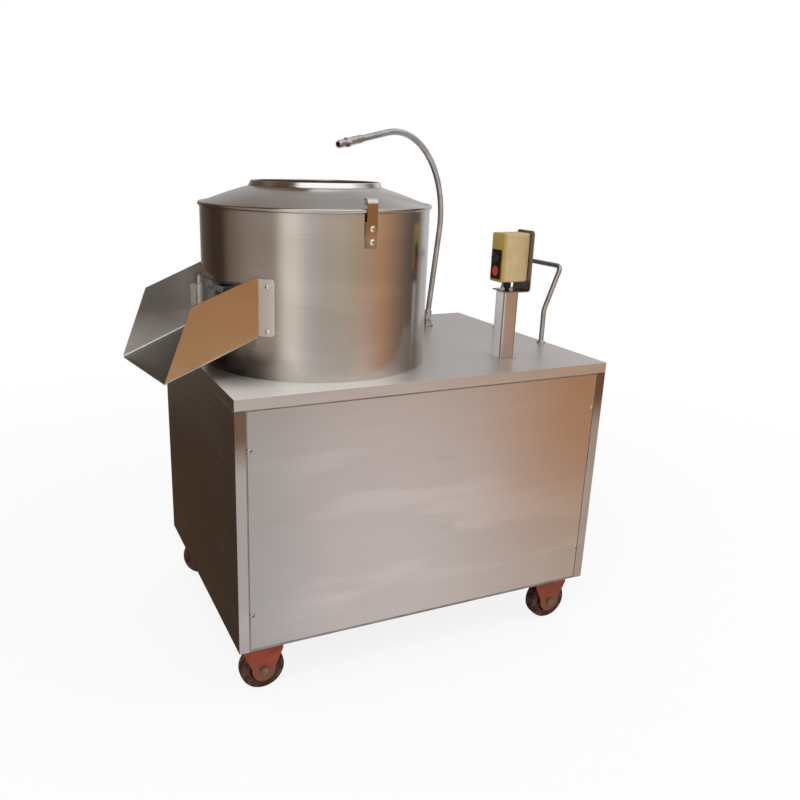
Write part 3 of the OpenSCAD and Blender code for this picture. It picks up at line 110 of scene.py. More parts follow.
class Finish:
    """A material under construction, or the world's colour where shelf is bpy.data.worlds."""

    def __init__(self, name, shelf=bpy.data.materials):
        self.material = shelf.new(name)
        self.material.use_nodes = True
        self.tree = self.material.node_tree
        self.shader = self.tree.nodes.get("Principled BSDF")

    def fill(self, socket, value):
        """Gives a socket a value or a link."""
        if isinstance(value, Wire):
            self.tree.links.new(value.socket, socket)
        elif socket.type == "RGBA":
            socket.default_value = (*value, 1.0)
        else:
            socket.default_value = value

    def node(self, kind, settings=None, inputs=(), output=0):
        made = self.tree.nodes.new(kind)
        for key, value in (settings or {}).items():
            if key == "stops":
                ramp = made.color_ramp
                for position, colour in value[2:]:
                    ramp.elements.new(position)
                for element, (position, colour) in zip(ramp.elements, value):
                    element.position = position
                    element.color = (*colour, 1.0)
            else:
                setattr(made, key, value)
        pairs = inputs.items() if isinstance(inputs, dict) else enumerate(inputs)
        for key, value in pairs:
            self.fill(made.inputs[key], value)
        return Wire(self, made.outputs[output])

    def here(self):
        """Object coordinates, in metres from the frame's origin."""
        return self.node("ShaderNodeTexCoord", output="Object")

    def split(self, vector):
        first = self.node("ShaderNodeSeparateXYZ", None, (vector,))
        return [first.beside(i) for i in range(3)]

    def noise(self, scale, detail, rough=0.5, shift=(0.0, 0.0, 0.0), where=None):
        """Cloudy values round a half; scale is a number, or one for each direction."""
        scale = scale if isinstance(scale, tuple) else (scale, scale, scale)
        spot = self.node("ShaderNodeMapping", None,
                         {"Vector": where or self.here(), "Scale": scale, "Location": shift})
        return self.node("ShaderNodeTexNoise", None,
                         {"Vector": spot, "Scale": 1.0, "Detail": detail, "Roughness": rough})

    def mix(self, amount, low, high):
        """A colour between low and high; 6, 7 and 2 are the node's colour sockets."""
        return self.node("ShaderNodeMix", {"data_type": "RGBA"}, {0: amount, 6: low, 7: high}, output=2)

    def bump(self, height, depth, strength):
        return self.node("ShaderNodeBump", None,
                         {"Strength": strength, "Distance": depth, "Height": height})

    def wear(self):
        """1 on convex edges, 0 elsewhere."""
        return self.node("ShaderNodeNewGeometry", output="Pointiness").rise(0.53, 0.60)

    def ray(self, kind):
        """1 for rays of a kind, such as Camera, 0 for others."""
        return self.node("ShaderNodeLightPath", output=f"Is {kind} Ray")

    def set(self, **values):
        for name, value in values.items():
            self.fill(self.shader.inputs[name.replace("_", " ")], value)
        return self.material


def shade(colour, factor):
    return tuple(min(1.0, c * factor) for c in colour)


# ------------------------------------------------------------------ finishes
CROSS_GRAIN = 40.0  # a grain scale above this runs across the brushing


def brushed_steel(name, colour, grain, roughness, smudge=0.5, where=None, spread=0.0,
                  tarnish_and_painted_reflection=None, waves=0.0, top_painted_shade=None, metallic=1.0, relief=0.8, overlay=None, cover=None):
    """Stainless sheet: grain, cloudy marks, polished streaks, smudges, slow waves, and patches of a
    tarnish colour, which on the chute's outside is a painted reflection. A given top colour is painted
    shade on its top, a given function lays painted light and shade on it, and cover(finish) is 1 where the
    metal is duller under painted light."""
    f = Finish(name)
    spot = where(f) if where else None
    lines = f.noise(grain, detail=3.0, rough=0.7, where=spot)
    finer = tuple(g * 3.1 if g > CROSS_GRAIN else g for g in grain)
    fine = f.noise(finer, detail=2.0, rough=0.6, where=spot)
    clouds = f.noise((4.0, 4.0, 6.0), detail=3.0, rough=0.55)
    drift = f.noise((2.3, 2.3, 3.4), detail=1.0, shift=(5.2, 0.4, 2.2))
    marks = f.noise((13.0, 13.0, 40.0), detail=2.0, rough=0.5, shift=(3.1, 1.7, 0.4)).rise(0.64, 0.78)
    specks = f.noise(150.0, detail=1.0, shift=(1.1, 0.7, 2.9)).rise(0.78, 0.84)
    swell = f.noise((3.5, 3.5, 13.0), detail=1.0, shift=(0.7, 2.6, 0.9))
    streaks = f.noise((2.4, 2.4, 12.0), detail=2.0, rough=0.6, shift=(4.4, 0.2, 1.3)).rise(0.50, 0.66)
    tone = lines * 0.4 + fine * 0.2 + clouds * 0.4
    colours = f.mix(tone.rise(0.3, 0.7), shade(colour, 0.93), shade(colour, 1.05))
    # Tarnish in patches; on the chute's outside this orange colour is a painted reflection.
    if tarnish_and_painted_reflection:
        colours = f.mix(drift.rise(0.35, 0.7) * 0.6, colours, tarnish_and_painted_reflection)
    colours = f.mix(streaks * 0.45, colours, shade(colour, 1.20))
    # Painted shade: the sheet turns towards a darker colour at its top.
    if top_painted_shade:
        z = f.split(f.here())[2]
        colours = f.mix((z + clouds * 0.02).rise(*top_painted_shade[0]) * 0.9, colours, top_painted_shade[1])
    colours = f.mix(marks * smudge * 0.30, colours, shade(colour, 1.25))
    colours = f.mix(specks * 0.25, colours, shade(colour, 0.6))
    # Painted light and shade, laid on by the function given for it.
    if overlay:
        colours = overlay(f, colours)
    # Less metallic where a pool of light is painted, so that it shows pale.
    if cover:
        metallic = metallic - cover(f) * 0.55
    f.shader.inputs["Anisotropic"].default_value = spread
    f.shader.inputs["Anisotropic Rotation"].default_value = 0.25
    return f.set(
        Base_Color=colours,
        Metallic=metallic,
        Roughness=lines * 0.07 + clouds * 0.10 + marks * 0.08 + (roughness - 0.09),
        Normal=f.bump(lines * 0.000007 + fine * 0.000005 + swell * waves, 1.0, relief),
    )


def painted_reflection_ends(f, colours):
    """Front panel: painted reflections, brown towards its upper right end and dimmer grey at its left end.
    """
    x, y, z = f.split(f.here())
    cloudy = f.noise((3.0, 3.0, 5.0), detail=2.0, shift=(2.0, 0.0, 1.0))
    brown_painted_reflection = (x + cloudy * 0.10).rise(right - 0.30, right + 0.02) * z.rise(top - 0.46, top - 0.16)
    colours = f.mix(brown_painted_reflection * 0.85, colours, (0.58, 0.39, 0.26))
    dim_painted_reflection = (x + cloudy * 0.08).fall(left + 0.04, left + 0.26)
    return f.mix(dim_painted_reflection * 0.8, colours, (0.475, 0.470, 0.448))


def painted_shadow_and_dark_foot(f, colours):
    """A painted shadow on the drum below its chute, and its foot darker brown towards its right."""
    x, y, z = f.split(f.here())
    patchy = f.noise(16.0, detail=3.0, shift=(1.0, 2.0, 3.0))
    low = (z + patchy * 0.04).fall(top + 0.045, top + 0.105)
    near = (x + patchy * 0.04).fall(drum.x - 0.175, drum.x - 0.085)
    foot = (z + patchy * 0.06).fall(top + 0.03, top + 0.15)
    colours = f.mix(foot * x.rise(drum.x + 0.09, drum.x + 0.15) * 0.7, colours, (0.27, 0.21, 0.18))
    return f.mix(low * near * 0.88, colours, (0.035, 0.026, 0.022))


def painted_pool_mask(f):
    """1 where a pool of light is painted on the top plate, in front of the drum and below its chute, 0
    elsewhere.
    """
    x, y, z = f.split(f.here())
    patchy = f.noise(14.0, detail=3.0, shift=(3.0, 1.0, 2.0))
    along = (x + patchy * 0.06).fall(drum.x + 0.02, drum.x + 0.20)
    return along * (y + patchy * 0.06).fall(drum.y - 0.20, drum.y - 0.06)


def painted_pool_of_light(f, colours):
    """A pale patch on the top plate, a painted pool of light."""
    return f.mix(painted_pool_mask(f) * 0.75, colours, (0.92, 0.93, 0.90))


def around_drum(f):
    """Coordinates that run as rings round the drum: distance from its axis, and height."""
    spot = f.node("ShaderNodeMapping", None, {"Vector": f.here(), "Location": (-drum.x, -drum.y, 0.0)})
    x, y, z = f.split(spot)
    radius = (x * x + y * y) ** 0.5
    return f.node("ShaderNodeCombineXYZ", None, (radius, 0.0, z))


def polished_steel(name, colour, roughness):
    """Drawn tube and pressed parts: smooth, with light scratches and dull patches."""
    f = Finish(name)
    patches = f.noise(30.0, detail=3.0)
    scratches = f.noise((500.0, 60.0, 500.0), detail=2.0)
    return f.set(
        Base_Color=f.mix(patches.rise(0.3, 0.7), shade(colour, 0.85), shade(colour, 1.08)),
        Metallic=1.0,
        Roughness=patches * 0.14 + scratches * 0.06 + (roughness - 0.08),
        Normal=f.bump(scratches, 0.000006, 0.5),
    )


def enamel(name, colour, roughness, wear, grime=0.5, under=(0.30, 0.28, 0.26), overlay=None):
    """Sprayed paint: slight orange peel, grime in patches, rubbed edges, dirt near the floor."""
    f = Finish(name)
    patches = f.noise(22.0, detail=4.0, rough=0.6)
    dirt = f.noise(60.0, detail=4.0, rough=0.7, shift=(2.0, 5.0, 1.0)).rise(0.5, 0.72)
    peel = f.noise(700.0, detail=1.0)
    rubbed = f.wear() * f.noise(90.0, detail=3.0, shift=(7.0, 1.0, 3.0)).rise(0.42, 0.6)
    colours = f.mix(patches.rise(0.3, 0.7), shade(colour, 0.82), shade(colour, 1.12))
    colours = f.mix(dirt * grime * 0.5, colours, shade(colour, 0.35))
    colours = f.mix(rubbed * wear, colours, under)
    if overlay:
        z = f.split(f.here())[2]
        colours = f.mix((z + patches * 0.03).fall(0.056, 0.090) * 0.6, colours, overlay)
    return f.set(
        Base_Color=colours,
        Metallic=0.0,
        Roughness=patches * 0.15 + dirt * 0.2 + (roughness - 0.08),
        Normal=f.bump(peel * 0.7 + dirt * 0.3, 0.00008, 0.6),
    )


def moulded(name, colour, roughness):
    """Moulded plastic: very fine grain and a little uneven sheen."""
    f = Finish(name)
    patches = f.noise(40.0, detail=3.0)
    skin = f.noise(1400.0, detail=1.0)
    return f.set(
        Base_Color=f.mix(patches.rise(0.35, 0.65), shade(colour, 0.93), shade(colour, 1.05)),
        Roughness=patches * 0.12 + (roughness - 0.06),
        Normal=f.bump(skin, 0.00005, 0.6),
    )


def rubber(name, colour, dust, dusty):
    """Rubber with scuffs and dust on it."""
    f = Finish(name)
    scuff = f.noise(55.0, detail=4.0, rough=0.65).rise(0.42, 0.7)
    skin = f.noise(900.0, detail=2.0)
    f.shader.inputs["Specular IOR Level"].default_value = 0.25
    return f.set(
        Base_Color=f.mix(scuff * dusty, colour, dust),
        Roughness=scuff * 0.1 + 0.72,
        Normal=f.bump(skin * 0.5 + scuff * 0.5, 0.00012, 0.7),
    )


def cast_iron(name, colour, metallic=0.75):
    """Sand-cast metal with a dull pebbled skin."""
    f = Finish(name)
    pebbles = f.noise(420.0, detail=3.0, rough=0.6)
    patches = f.noise(28.0, detail=3.0)
    return f.set(
        Base_Color=f.mix(patches.rise(0.3, 0.7), shade(colour, 0.75), shade(colour, 1.15)),
        Metallic=metallic,
        Roughness=patches * 0.2 + 0.4,
        Normal=f.bump(pebbles, 0.00015, 0.7),
    )


def grit(name, dark, light):
    """Coarse abrasive grains set in resin."""
    f = Finish(name)
    grain = f.node("ShaderNodeTexVoronoi", {"feature": "F1"}, {"Vector": f.here(), "Scale": 420.0})
    tint = f.node("ShaderNodeSeparateColor", None, (grain.beside("Color"),))
    wet = f.noise(14.0, detail=3.0).rise(0.4, 0.65)
    colours = f.mix(tint.rise(0.2, 0.9), dark, light)
    return f.set(
        Base_Color=f.mix(wet * 0.35, colours, shade(dark, 0.7)),
        Roughness=tint * 0.3 + 0.5,
        Normal=f.bump(1.0 - grain, 0.0009, 1.0),
    )


steel = (0.60, 0.57, 0.545)
finishes = {
    # Front panel: painted reflections at its ends, brown at the upper right and dimmer grey at the left.
    "front": brushed_steel("steel_front", shade(steel, 1.03), (3.0, 3.0, 320.0), 0.22, spread=0.3,
                           tarnish_and_painted_reflection=(0.60, 0.54, 0.50), waves=0.0009, overlay=painted_reflection_ends),
    "side": brushed_steel("steel_side", shade(steel, 0.92), (3.0, 3.0, 320.0), 0.26, spread=0.4,
                          waves=0.0003, relief=0.10),
    # Folded strips: darker brown towards their top under the top plate's lip, painted shade.
    "strip": brushed_steel("steel_strip", shade(steel, 0.93), (320.0, 320.0, 3.0), 0.28,
                           top_painted_shade=((top - 0.14, top - 0.05), (0.20, 0.115, 0.065))),
    # Top plate: a pale, less metallic patch in front of the drum, a painted pool of light.
    "top": brushed_steel("steel_top", shade(steel, 1.06), (3.0, 320.0, 320.0), 0.38, metallic=0.82,
                         overlay=painted_pool_of_light, cover=painted_pool_mask),
    # The top plate's front lip: a lighter copy of the steel, a painted highlight.
    "lip": brushed_steel("steel_lip_painted_highlight", shade(steel, 1.08), (3.0, 3.0, 320.0), 0.24),
    # Drum: a painted shadow below its chute and a darker brown foot at its right.
    "drum": brushed_steel("steel_drum", steel, (320.0, 3.0, 320.0), 0.18, 0.3, around_drum, spread=0.4,
                          waves=0.0002, overlay=painted_shadow_and_dark_foot),
    "lid": brushed_steel("steel_lid", shade(steel, 1.01), (420.0, 3.0, 420.0), 0.20, 0.3, around_drum),
    # The outside of the lid's collar: near-white steel, a painted highlight.
    "collar": brushed_steel("steel_collar_painted_highlight", (0.95, 0.94, 0.94), (420.0, 3.0, 420.0), 0.18, 0.2,
                            around_drum),
    # Chute: darker towards the top of its walls, painted shade.
    "chute": brushed_steel("steel_chute", shade(steel, 1.2), (260.0, 4.0, 260.0), 0.34, 0.4, metallic=0.55,
                           top_painted_shade=((top + 0.050, top + 0.125), (0.25, 0.225, 0.205))),
    # Chute floor: a darker copy of the steel, painted shade.
    "chute_floor": brushed_steel("steel_chute_floor_painted_shade", shade(steel, 0.32), (4.0, 260.0, 260.0), 0.30, 0.4),
    # Outside of the chute's front wall: orange-brown steel, a painted reflection.
    "chute_outside": brushed_steel("steel_chute_outside_painted_reflection", (0.54, 0.36, 0.21), (5.0, 5.0, 9.0), 0.28, 0.3,
                                   tarnish_and_painted_reflection=(0.50, 0.30, 0.15)),
    # Flanges, end rims and the clips' hook tops: a lighter copy of the steel, a painted highlight.
    "flange": brushed_steel("steel_flange_painted_highlight", shade(steel, 1.32), (60.0, 60.0, 60.0), 0.36, metallic=0.85),
    "post": brushed_steel("steel_post", steel, (320.0, 320.0, 3.0), 0.18),
    # The post's left side: a near-white, little metallic copy of the steel, a painted highlight.
    "post_side": brushed_steel("steel_post_side_painted_highlight", (0.97, 0.96, 0.95), (320.0, 320.0, 3.0), 0.14,
                               metallic=0.35),
    "tube": polished_steel("drawn_tube", (0.57, 0.585, 0.61), 0.26),
    "hose": polished_steel("ribbed_hose", (0.72, 0.745, 0.78), 0.26),
    "nozzle": polished_steel("nozzle_metal", (0.80, 0.76, 0.79), 0.28),
    # Clip straps: orange-brown steel, a painted reflection, darker towards the top as painted shade.
    "strap": brushed_steel("steel_strap_painted_reflection", (0.52, 0.39, 0.28), (320.0, 320.0, 3.0), 0.20,
                           top_painted_shade=((rim_z - 0.034, rim_z - 0.010), (0.40, 0.25, 0.13))),
    # Bracket: a much darker copy of the steel, painted shade under the switch box.
    "bracket": brushed_steel("steel_bracket_painted_shade", shade(steel, 0.54), (320.0, 320.0, 3.0), 0.30),
    "zinc": polished_steel("zinc_fastener", (0.66, 0.66, 0.66), 0.24),
    "bright_screw": polished_steel("bright_screw", (0.95, 0.93, 0.92), 0.22),
    "ground": polished_steel("ground_shaft", (0.58, 0.58, 0.59), 0.14),
    "frame": cast_iron("galvanised_angle", (0.36, 0.35, 0.34), 0.8),
    "caster": enamel("caster_red", (0.33, 0.040, 0.012), 0.42, 0.5, 0.9, (0.12, 0.06, 0.04),
                     (0.115, 0.070, 0.036)),
    "caster_bolt": enamel("caster_bolt", (0.16, 0.095, 0.055), 0.45, 0.4, 0.8),
    "motor": enamel("motor_enamel", (0.030, 0.075, 0.135), 0.38, 0.3),
    "gate_bar": enamel("gate_bar_paint", (0.055, 0.062, 0.075), 0.35, 0.5),
    "tyre": rubber("tyre_rubber", (0.046, 0.018, 0.010), (0.20, 0.125, 0.105), 0.55),
    "black_rubber": rubber("black_rubber", (0.012, 0.012, 0.012), (0.05, 0.05, 0.05), 0.4),
    "iron": cast_iron("cast_pulley", (0.16, 0.16, 0.17)),
    "core": cast_iron("cast_wheel", (0.085, 0.042, 0.028), 0.5),
    "grit": grit("abrasive_grit", (0.045, 0.035, 0.028), (0.20, 0.15, 0.11)),
    "cream": moulded("cream_plastic", (0.54, 0.40, 0.22), 0.42),
    # Switch cover: its own yellow, darkened towards brown as painted shade.
    "yellow": moulded("yellow_cover_painted_shade", (0.44, 0.31, 0.075), 0.38),
    "green": moulded("green_button", (0.010, 0.020, 0.006), 0.20),
    "red": moulded("red_button", (0.55, 0.045, 0.032), 0.22),
    "black": moulded("black_nylon", (0.012, 0.012, 0.013), 0.5),
    "surround": moulded("button_surround_black", (0.011, 0.006, 0.003), 0.5),
}

finish_of_node = {
    "frame": "frame", "top_plate": "top", "left_panel": "side", "right_panel": "side",
    "back_panel": "front", "front_panel": "front", "panel_screws": "zinc",
    "caster_forks": "caster", "caster_axles": "caster_bolt",
    "wheel_front_left": "core", "wheel_front_right": "core",
    "wheel_back_left": "core", "wheel_back_right": "core",
    "tyre_front_left": "tyre", "tyre_front_right": "tyre",
    "tyre_back_left": "tyre", "tyre_back_right": "tyre",
    "drum_shell": "drum", "drum_floor": "top", "abrasive_lining": "grit", "lid": "lid",
    "lid_clips": "zinc", "drum_screws": "zinc", "chute": "chute", "gate": "drum",
    "gate_handle": "gate_bar", "gate_hinge": "zinc",
    "peeling_disc": "grit", "disc_nut": "tube", "main_shaft": "ground", "large_pulley": "iron",
    "waste_paddles": "black_rubber", "bearing_housing": "iron", "bearings": "ground",
    "shaft_seal": "black_rubber", "housing_bolts": "zinc", "v_belts": "black_rubber",
    "motor_body": "motor", "motor_terminal_box": "motor", "motor_fan_cover": "motor",
    "motor_fan": "black", "motor_shaft": "ground", "motor_pulley": "iron",
    "motor_plate": "frame", "motor_bolts": "zinc", "drain_pipe": "tube", "water_inlet": "tube",
    "gooseneck_base": "tube", "gooseneck": "tube", "nozzle": "tube",
    "switch_post": "post", "switch_bracket": "post", "switch_box": "cream",
    "switch_cover": "yellow", "button_plate": "surround", "on_button": "green", "off_button": "red",
    "switch_cable": "black", "push_handle": "tube", "mains_gland": "black",
}
for name, node in nodes.items():
    material = finishes[finish_of_node.get(name, "zinc")]
    if not node.material_slots:
        node.data.materials.append(material)
    for material_slot in node.material_slots:
        material_slot.material = material


# ------------------------------------------------------------------ workshop
MM = 0.001
WELD = 0.00001  # points nearer than this are one
record = frame["record"]
body_of_node = {name: body for body, names in record["behaviour"]["bodies"].items() for name in names}


def deselect():
    if bpy.context.object and bpy.context.object.mode != "OBJECT":
        bpy.ops.object.mode_set(mode="OBJECT")
    bpy.ops.object.select_all(action="DESELECT")


def pick(piece):
    deselect()
    piece.select_set(True)
    bpy.context.view_layer.objects.active = piece


def edit_all(piece):
    """Opens a piece for editing with all of it selected."""
    pick(piece)
    bpy.ops.object.mode_set(mode="EDIT")
    bpy.ops.mesh.select_all(action="SELECT")


def end_edit():
    bpy.ops.object.mode_set(mode="OBJECT")


def add_modifier(piece, name, kind, **settings):
    modifier = piece.modifiers.new(name, kind)
    for key, value in settings.items():
        setattr(modifier, key, value)


def apply_modifiers(piece):
    pick(piece)
    for modifier in list(piece.modifiers):
        bpy.ops.object.modifier_apply(modifier=modifier.name)


def outwards(piece):
    """Merges doubles and turns the faces outwards."""
    edit_all(piece)
    bpy.ops.mesh.remove_doubles(threshold=WELD)
    bpy.ops.mesh.normals_make_consistent(inside=False)
    end_edit()


def finish_piece(piece, name, finish, node, angle=35.0):
    """Names a piece that takes a node's place, and gives it its finish and the node's body."""
    pick(piece)
    bpy.ops.object.transform_apply(location=True, rotation=True, scale=True)
    piece.name = name
    piece.data.name = name
    bpy.ops.object.shade_smooth_by_angle(angle=math.radians(angle))
    add_modifier(piece, "even", "WEIGHTED_NORMAL", mode="FACE_AREA", weight=100, keep_sharp=True)
    apply_modifiers(piece)
    piece.data.materials.clear()
    piece.data.materials.append(finishes[finish])
    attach(piece, body_of_node[node])
    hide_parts(node)
    return piece


def face_finishes(piece, extra, chosen):
    """Gives each face the extra finish that chosen(face) names, or leaves it the piece's own."""
    for finish in extra:
        piece.data.materials.append(finishes[finish])
    for face in piece.data.polygons:
        finish = chosen(face)
        face.material_index = 1 + extra.index(finish) if finish else 0


def softened(node, width, segments=2):
    """A node's own shape with its edges rounded, as bent sheet, castings and mouldings have them."""
    source = nodes[node]
    piece = bpy.data.objects.new(node + "_dressed", source.data.copy())
    scene.collection.objects.link(piece)
    edit_all(piece)
    bpy.ops.mesh.remove_doubles(threshold=WELD)
    bpy.ops.mesh.dissolve_limited(angle_limit=math.radians(0.5))
    end_edit()
    add_modifier(piece, "edges", "BEVEL", width=width, segments=segments, limit_method="ANGLE",
                 angle_limit=math.radians(40.0), use_clamp_overlap=True)
    apply_modifiers(piece)
    return finish_piece(piece, node + "_dressed", finish_of_node[node], node)


def turned(outline, segments):
    """A lathed shape about +Z through the origin, from (radius, height) pairs in millimetres."""
    rings = [(radius * MM, height * MM) for radius, height in outline]
    deselect()
    start_r, start_z = rings[0]
    bpy.ops.mesh.primitive_circle_add(vertices=segments, radius=start_r, fill_type="NOTHING",
                                      location=(0.0, 0.0, start_z))
    piece = bpy.context.object
    bpy.ops.object.transform_apply(location=True, rotation=True, scale=True)
    edit_all(piece)
    for radius, height in rings[1:] + rings[:1]:
        bpy.ops.mesh.extrude_region_move(TRANSFORM_OT_translate={"value": (0.0, 0.0, height - start_z)})
        factor = radius / start_r
        bpy.ops.transform.resize(value=(factor, factor, 1.0), center_override=(0.0, 0.0, height))
        start_r, start_z = radius, height
    end_edit()
    outwards(piece)
    return piece


def arc(centre_r, centre_z, radius, start, end, steps):
    """Points of a round corner in a lathed outline, angles in degrees from straight out."""
    points = []
    for i in range(steps + 1):
        a = math.radians(start + (end - start) * i / steps)
        points.append((centre_r + radius * math.cos(a), centre_z + radius * math.sin(a)))
    return points


def place(piece, matrix):
    """Moves a finished mesh to its place, leaving its object at the origin."""
    pick(piece)
    piece.matrix_world = matrix
    bpy.ops.object.transform_apply(location=True, rotation=True, scale=True)
    return piece


def copy_of(piece, matrix):
    """A copy with its own mesh, moved to its place."""
    twin = bpy.data.objects.new(piece.name, piece.data.copy())
    scene.collection.objects.link(twin)
    return place(twin, matrix)


def joined(pieces):
    """One piece out of several."""
    deselect()
    for piece in pieces:
        piece.select_set(True)
    bpy.context.view_layer.objects.active = pieces[0]
    bpy.ops.object.join()
    return bpy.context.object


def facing(direction, where):
    """A place whose +Z points along a direction."""
    turn = Vector(direction).to_track_quat("Z", "Y").to_matrix().to_4x4()
    return Matrix.Translation(where) @ turn


def islands(node):
    """The points of each separate body of a node."""
    mesh = nodes[node].data
    keys, group = {}, []
    for vertex in mesh.vertices:
        key = tuple(round(c, 5) for c in vertex.co)
        group.append(keys.setdefault(key, len(keys)))
    parent = list(range(len(keys)))

    def root(i):
        while parent[i] != i:
            parent[i] = parent[parent[i]]
            i = parent[i]
        return i

    for polygon in mesh.polygons:
        first = root(group[polygon.vertices[0]])
        for v in polygon.vertices[1:]:
            parent[root(group[v])] = first
    found = {}
    for key, i in keys.items():
        found.setdefault(root(i), []).append(Vector(key))
    return sorted(found.values(), key=lambda points: tuple(min(points, key=tuple)))


def middle_of(points):
    return Vector([(min(p[i] for p in points) + max(p[i] for p in points)) / 2.0 for i in range(3)])


def filleted(corners, radii, steps):
    """A path through corners, each rounded with its radius."""
    path = [Vector(corners[0])]
    for i in range(1, len(corners) - 1):
        before, corner, after = (Vector(corners[j]) for j in (i - 1, i, i + 1))
        into, out = (before - corner).normalized(), (after - corner).normalized()
        half = into.angle(out) / 2.0
        radius = radii[i - 1]
        reach = radius / math.tan(half)
        centre = corner + (into + out).normalized() * (radius / math.sin(half))
        start = corner + into * reach - centre
        axis = into.cross(out).normalized()
        sweep = math.pi - 2.0 * half
        for step in range(steps + 1):
            path.append(centre + Matrix.Rotation(-sweep * step / steps, 3, axis) @ start)
    path.append(Vector(corners[-1]))
    return path


def tube(path, radius, around, widths=None):
    """A round tube along a path, capped at its ends; widths may vary its radius from point to point."""
    deselect()
    data = bpy.data.curves.new("tube", "CURVE")
    data.dimensions = "3D"
    data.bevel_depth = radius
    data.bevel_resolution = around // 4
    data.use_fill_caps = True
    line = data.splines.new("POLY")
    line.points.add(len(path) - 1)
    for i, point in enumerate(path):
        line.points[i].co = (*point, 1.0)
        line.points[i].radius = widths[i] if widths else 1.0
    piece = bpy.data.objects.new("tube", data)
    scene.collection.objects.link(piece)
    pick(piece)
    bpy.ops.object.convert(target="MESH")
    piece = bpy.context.object
    outwards(piece)
    return piece


def block(low, high, rounding=0.0):
    """A block between two corners, with its edges rounded where rounding is given."""
    deselect()
    low, high = Vector(low), Vector(high)
    bpy.ops.mesh.primitive_cube_add(size=1.0, location=(low + high) / 2.0, scale=high - low)
    piece = bpy.context.object
    bpy.ops.object.transform_apply(location=True, rotation=True, scale=True)
    if rounding:
        edit_all(piece)
        bpy.ops.mesh.bevel(offset=rounding, segments=2, affect="EDGES")
        end_edit()
    return piece


def round_edges(piece, width, segments, chosen):
    """Rounds the edges that chosen(middle, direction) picks."""
    pick(piece)
    bpy.ops.object.mode_set(mode="EDIT")
    bpy.ops.mesh.select_mode(type="EDGE")
    bpy.ops.mesh.select_all(action="DESELECT")
    mesh = bmesh.from_edit_mesh(piece.data)
    for edge in mesh.edges:
        a, b = (piece.matrix_world @ v.co for v in edge.verts)
        if chosen((a + b) / 2.0, (b - a).normalized()):
            edge.select_set(True)
    mesh.select_flush_mode()
    bmesh.update_edit_mesh(piece.data)
    bpy.ops.mesh.bevel(offset=width, segments=segments, affect="EDGES")
    end_edit()
    return piece


def along_x(middle, direction):
    return abs(direction.x) > 0.9


def along_z(middle, direction):
    return abs(direction.z) > 0.9


def cut_away(piece, cutters):
    """Cuts the cutters out of a piece and throws them away."""
    for cutter in cutters:
        add_modifier(piece, "cut", "BOOLEAN", operation="DIFFERENCE", solver="EXACT", object=cutter)
    apply_modifiers(piece)
    for cutter in cutters:
        bpy.data.objects.remove(cutter)
    return piece


def grid(columns, rows, point):
    """A sheet whose corner (i, j) lies where point(i, j) says."""
    deselect()
    bpy.ops.mesh.primitive_grid_add(x_subdivisions=columns, y_subdivisions=rows, size=2.0)
    piece = bpy.context.object
    for vertex in piece.data.vertices:
        i = round((vertex.co.x + 1.0) / 2.0 * columns)
        j = round((vertex.co.y + 1.0) / 2.0 * rows)
        vertex.co = point(i, j)
    return piece


def thicken(piece, thick, side, edge):
    """Gives a sheet its thickness and rounds its rims, sizes in millimetres."""
    add_modifier(piece, "thickness", "SOLIDIFY", thickness=thick * MM, offset=side,
                 use_even_offset=True)
    add_modifier(piece, "rims", "BEVEL", width=edge * MM, segments=2, limit_method="ANGLE",
                 angle_limit=math.radians(60.0))
    apply_modifiers(piece)
    outwards(piece)
    return piece


# ------------------------------------------------------------------ screws
def dome_head(radius, height):
    """A dome head on z = 0 with a cross recess, in millimetres."""
    rings = [(radius, 0.0), (radius, height * 0.18)]
    for i in range(1, 7):
        a = math.radians(90.0 * i / 7)
        rings.append((radius * math.cos(a) * 0.98 + 0.01, height * (0.18 + 0.82 * math.sin(a))))
    rings.append((radius * 0.05, height))
    head = turned(rings, 24)
    long, narrow, floor = radius * 0.62, radius * 0.11, height * 0.45
    arms = [block(Vector((-x, -y, floor)) * MM, Vector((x, y, height * 2)) * MM)
            for x, y in ((long, narrow), (narrow, long))]
    return cut_away(head, arms)


def screw_set(node, name, direction_of, sizes, finish="zinc"):
    """Dome heads in the places of a node's screws; sizes(spot) gives radius and height in millimetres."""
    turn_between = 0.7
    patterns, made = {}, []
    for points in islands(node):
        middle = middle_of(points)
        direction = direction_of(middle)
        reach = max((p - middle).dot(direction) for p in points)
        size = sizes(middle)
        if size not in patterns:
            patterns[size] = dome_head(*size)
        seat = middle + direction * (reach - size[1] * MM)
        spin = Matrix.Rotation(turn_between * len(made), 4, "Z")
        made.append(copy_of(patterns[size], facing(direction, seat) @ spin))
    for pattern in patterns.values():
        bpy.data.objects.remove(pattern)
    return finish_piece(joined(made), name, finish, node)


def outwards_from_drum(point):
    away = Vector((point.x - drum.x, point.y - drum.y, 0.0))
    return away.normalized()


def outwards_from_cabinet(point):
    return Vector((0.0, -1.0 if point.y < (front + back) / 2.0 else 1.0, 0.0))


def drum_screw_size(spot):
    """The screws of the lid clips are above those of the chute, and larger."""
    return (6.0, 4.0) if spot.z > rim_z - 70.0 * MM else (4.5, 3.0)


def panel_screw_size(spot):
    return 5.0, 3.0


screw_set("drum_screws", "drum_screw_heads", outwards_from_drum, drum_screw_size, "bright_screw")
screw_set("panel_screws", "panel_screw_heads", outwards_from_cabinet, panel_screw_size)


# ------------------------------------------------------------------ cabinet and casters
def at_front(face):
    return face.normal.y < -0.7 and face.center.y < front + 5 * MM


def side_panel_face(face):
    """A side panel ends in a folded strip at the front."""
    return "strip" if at_front(face) else None


def top_plate_face(face):
    """The folded lip at the front of the top plate, with a painted highlight, and its flanks."""
    if at_front(face):
        return "lip"
    return "side" if abs(face.normal.x) > 0.7 else None


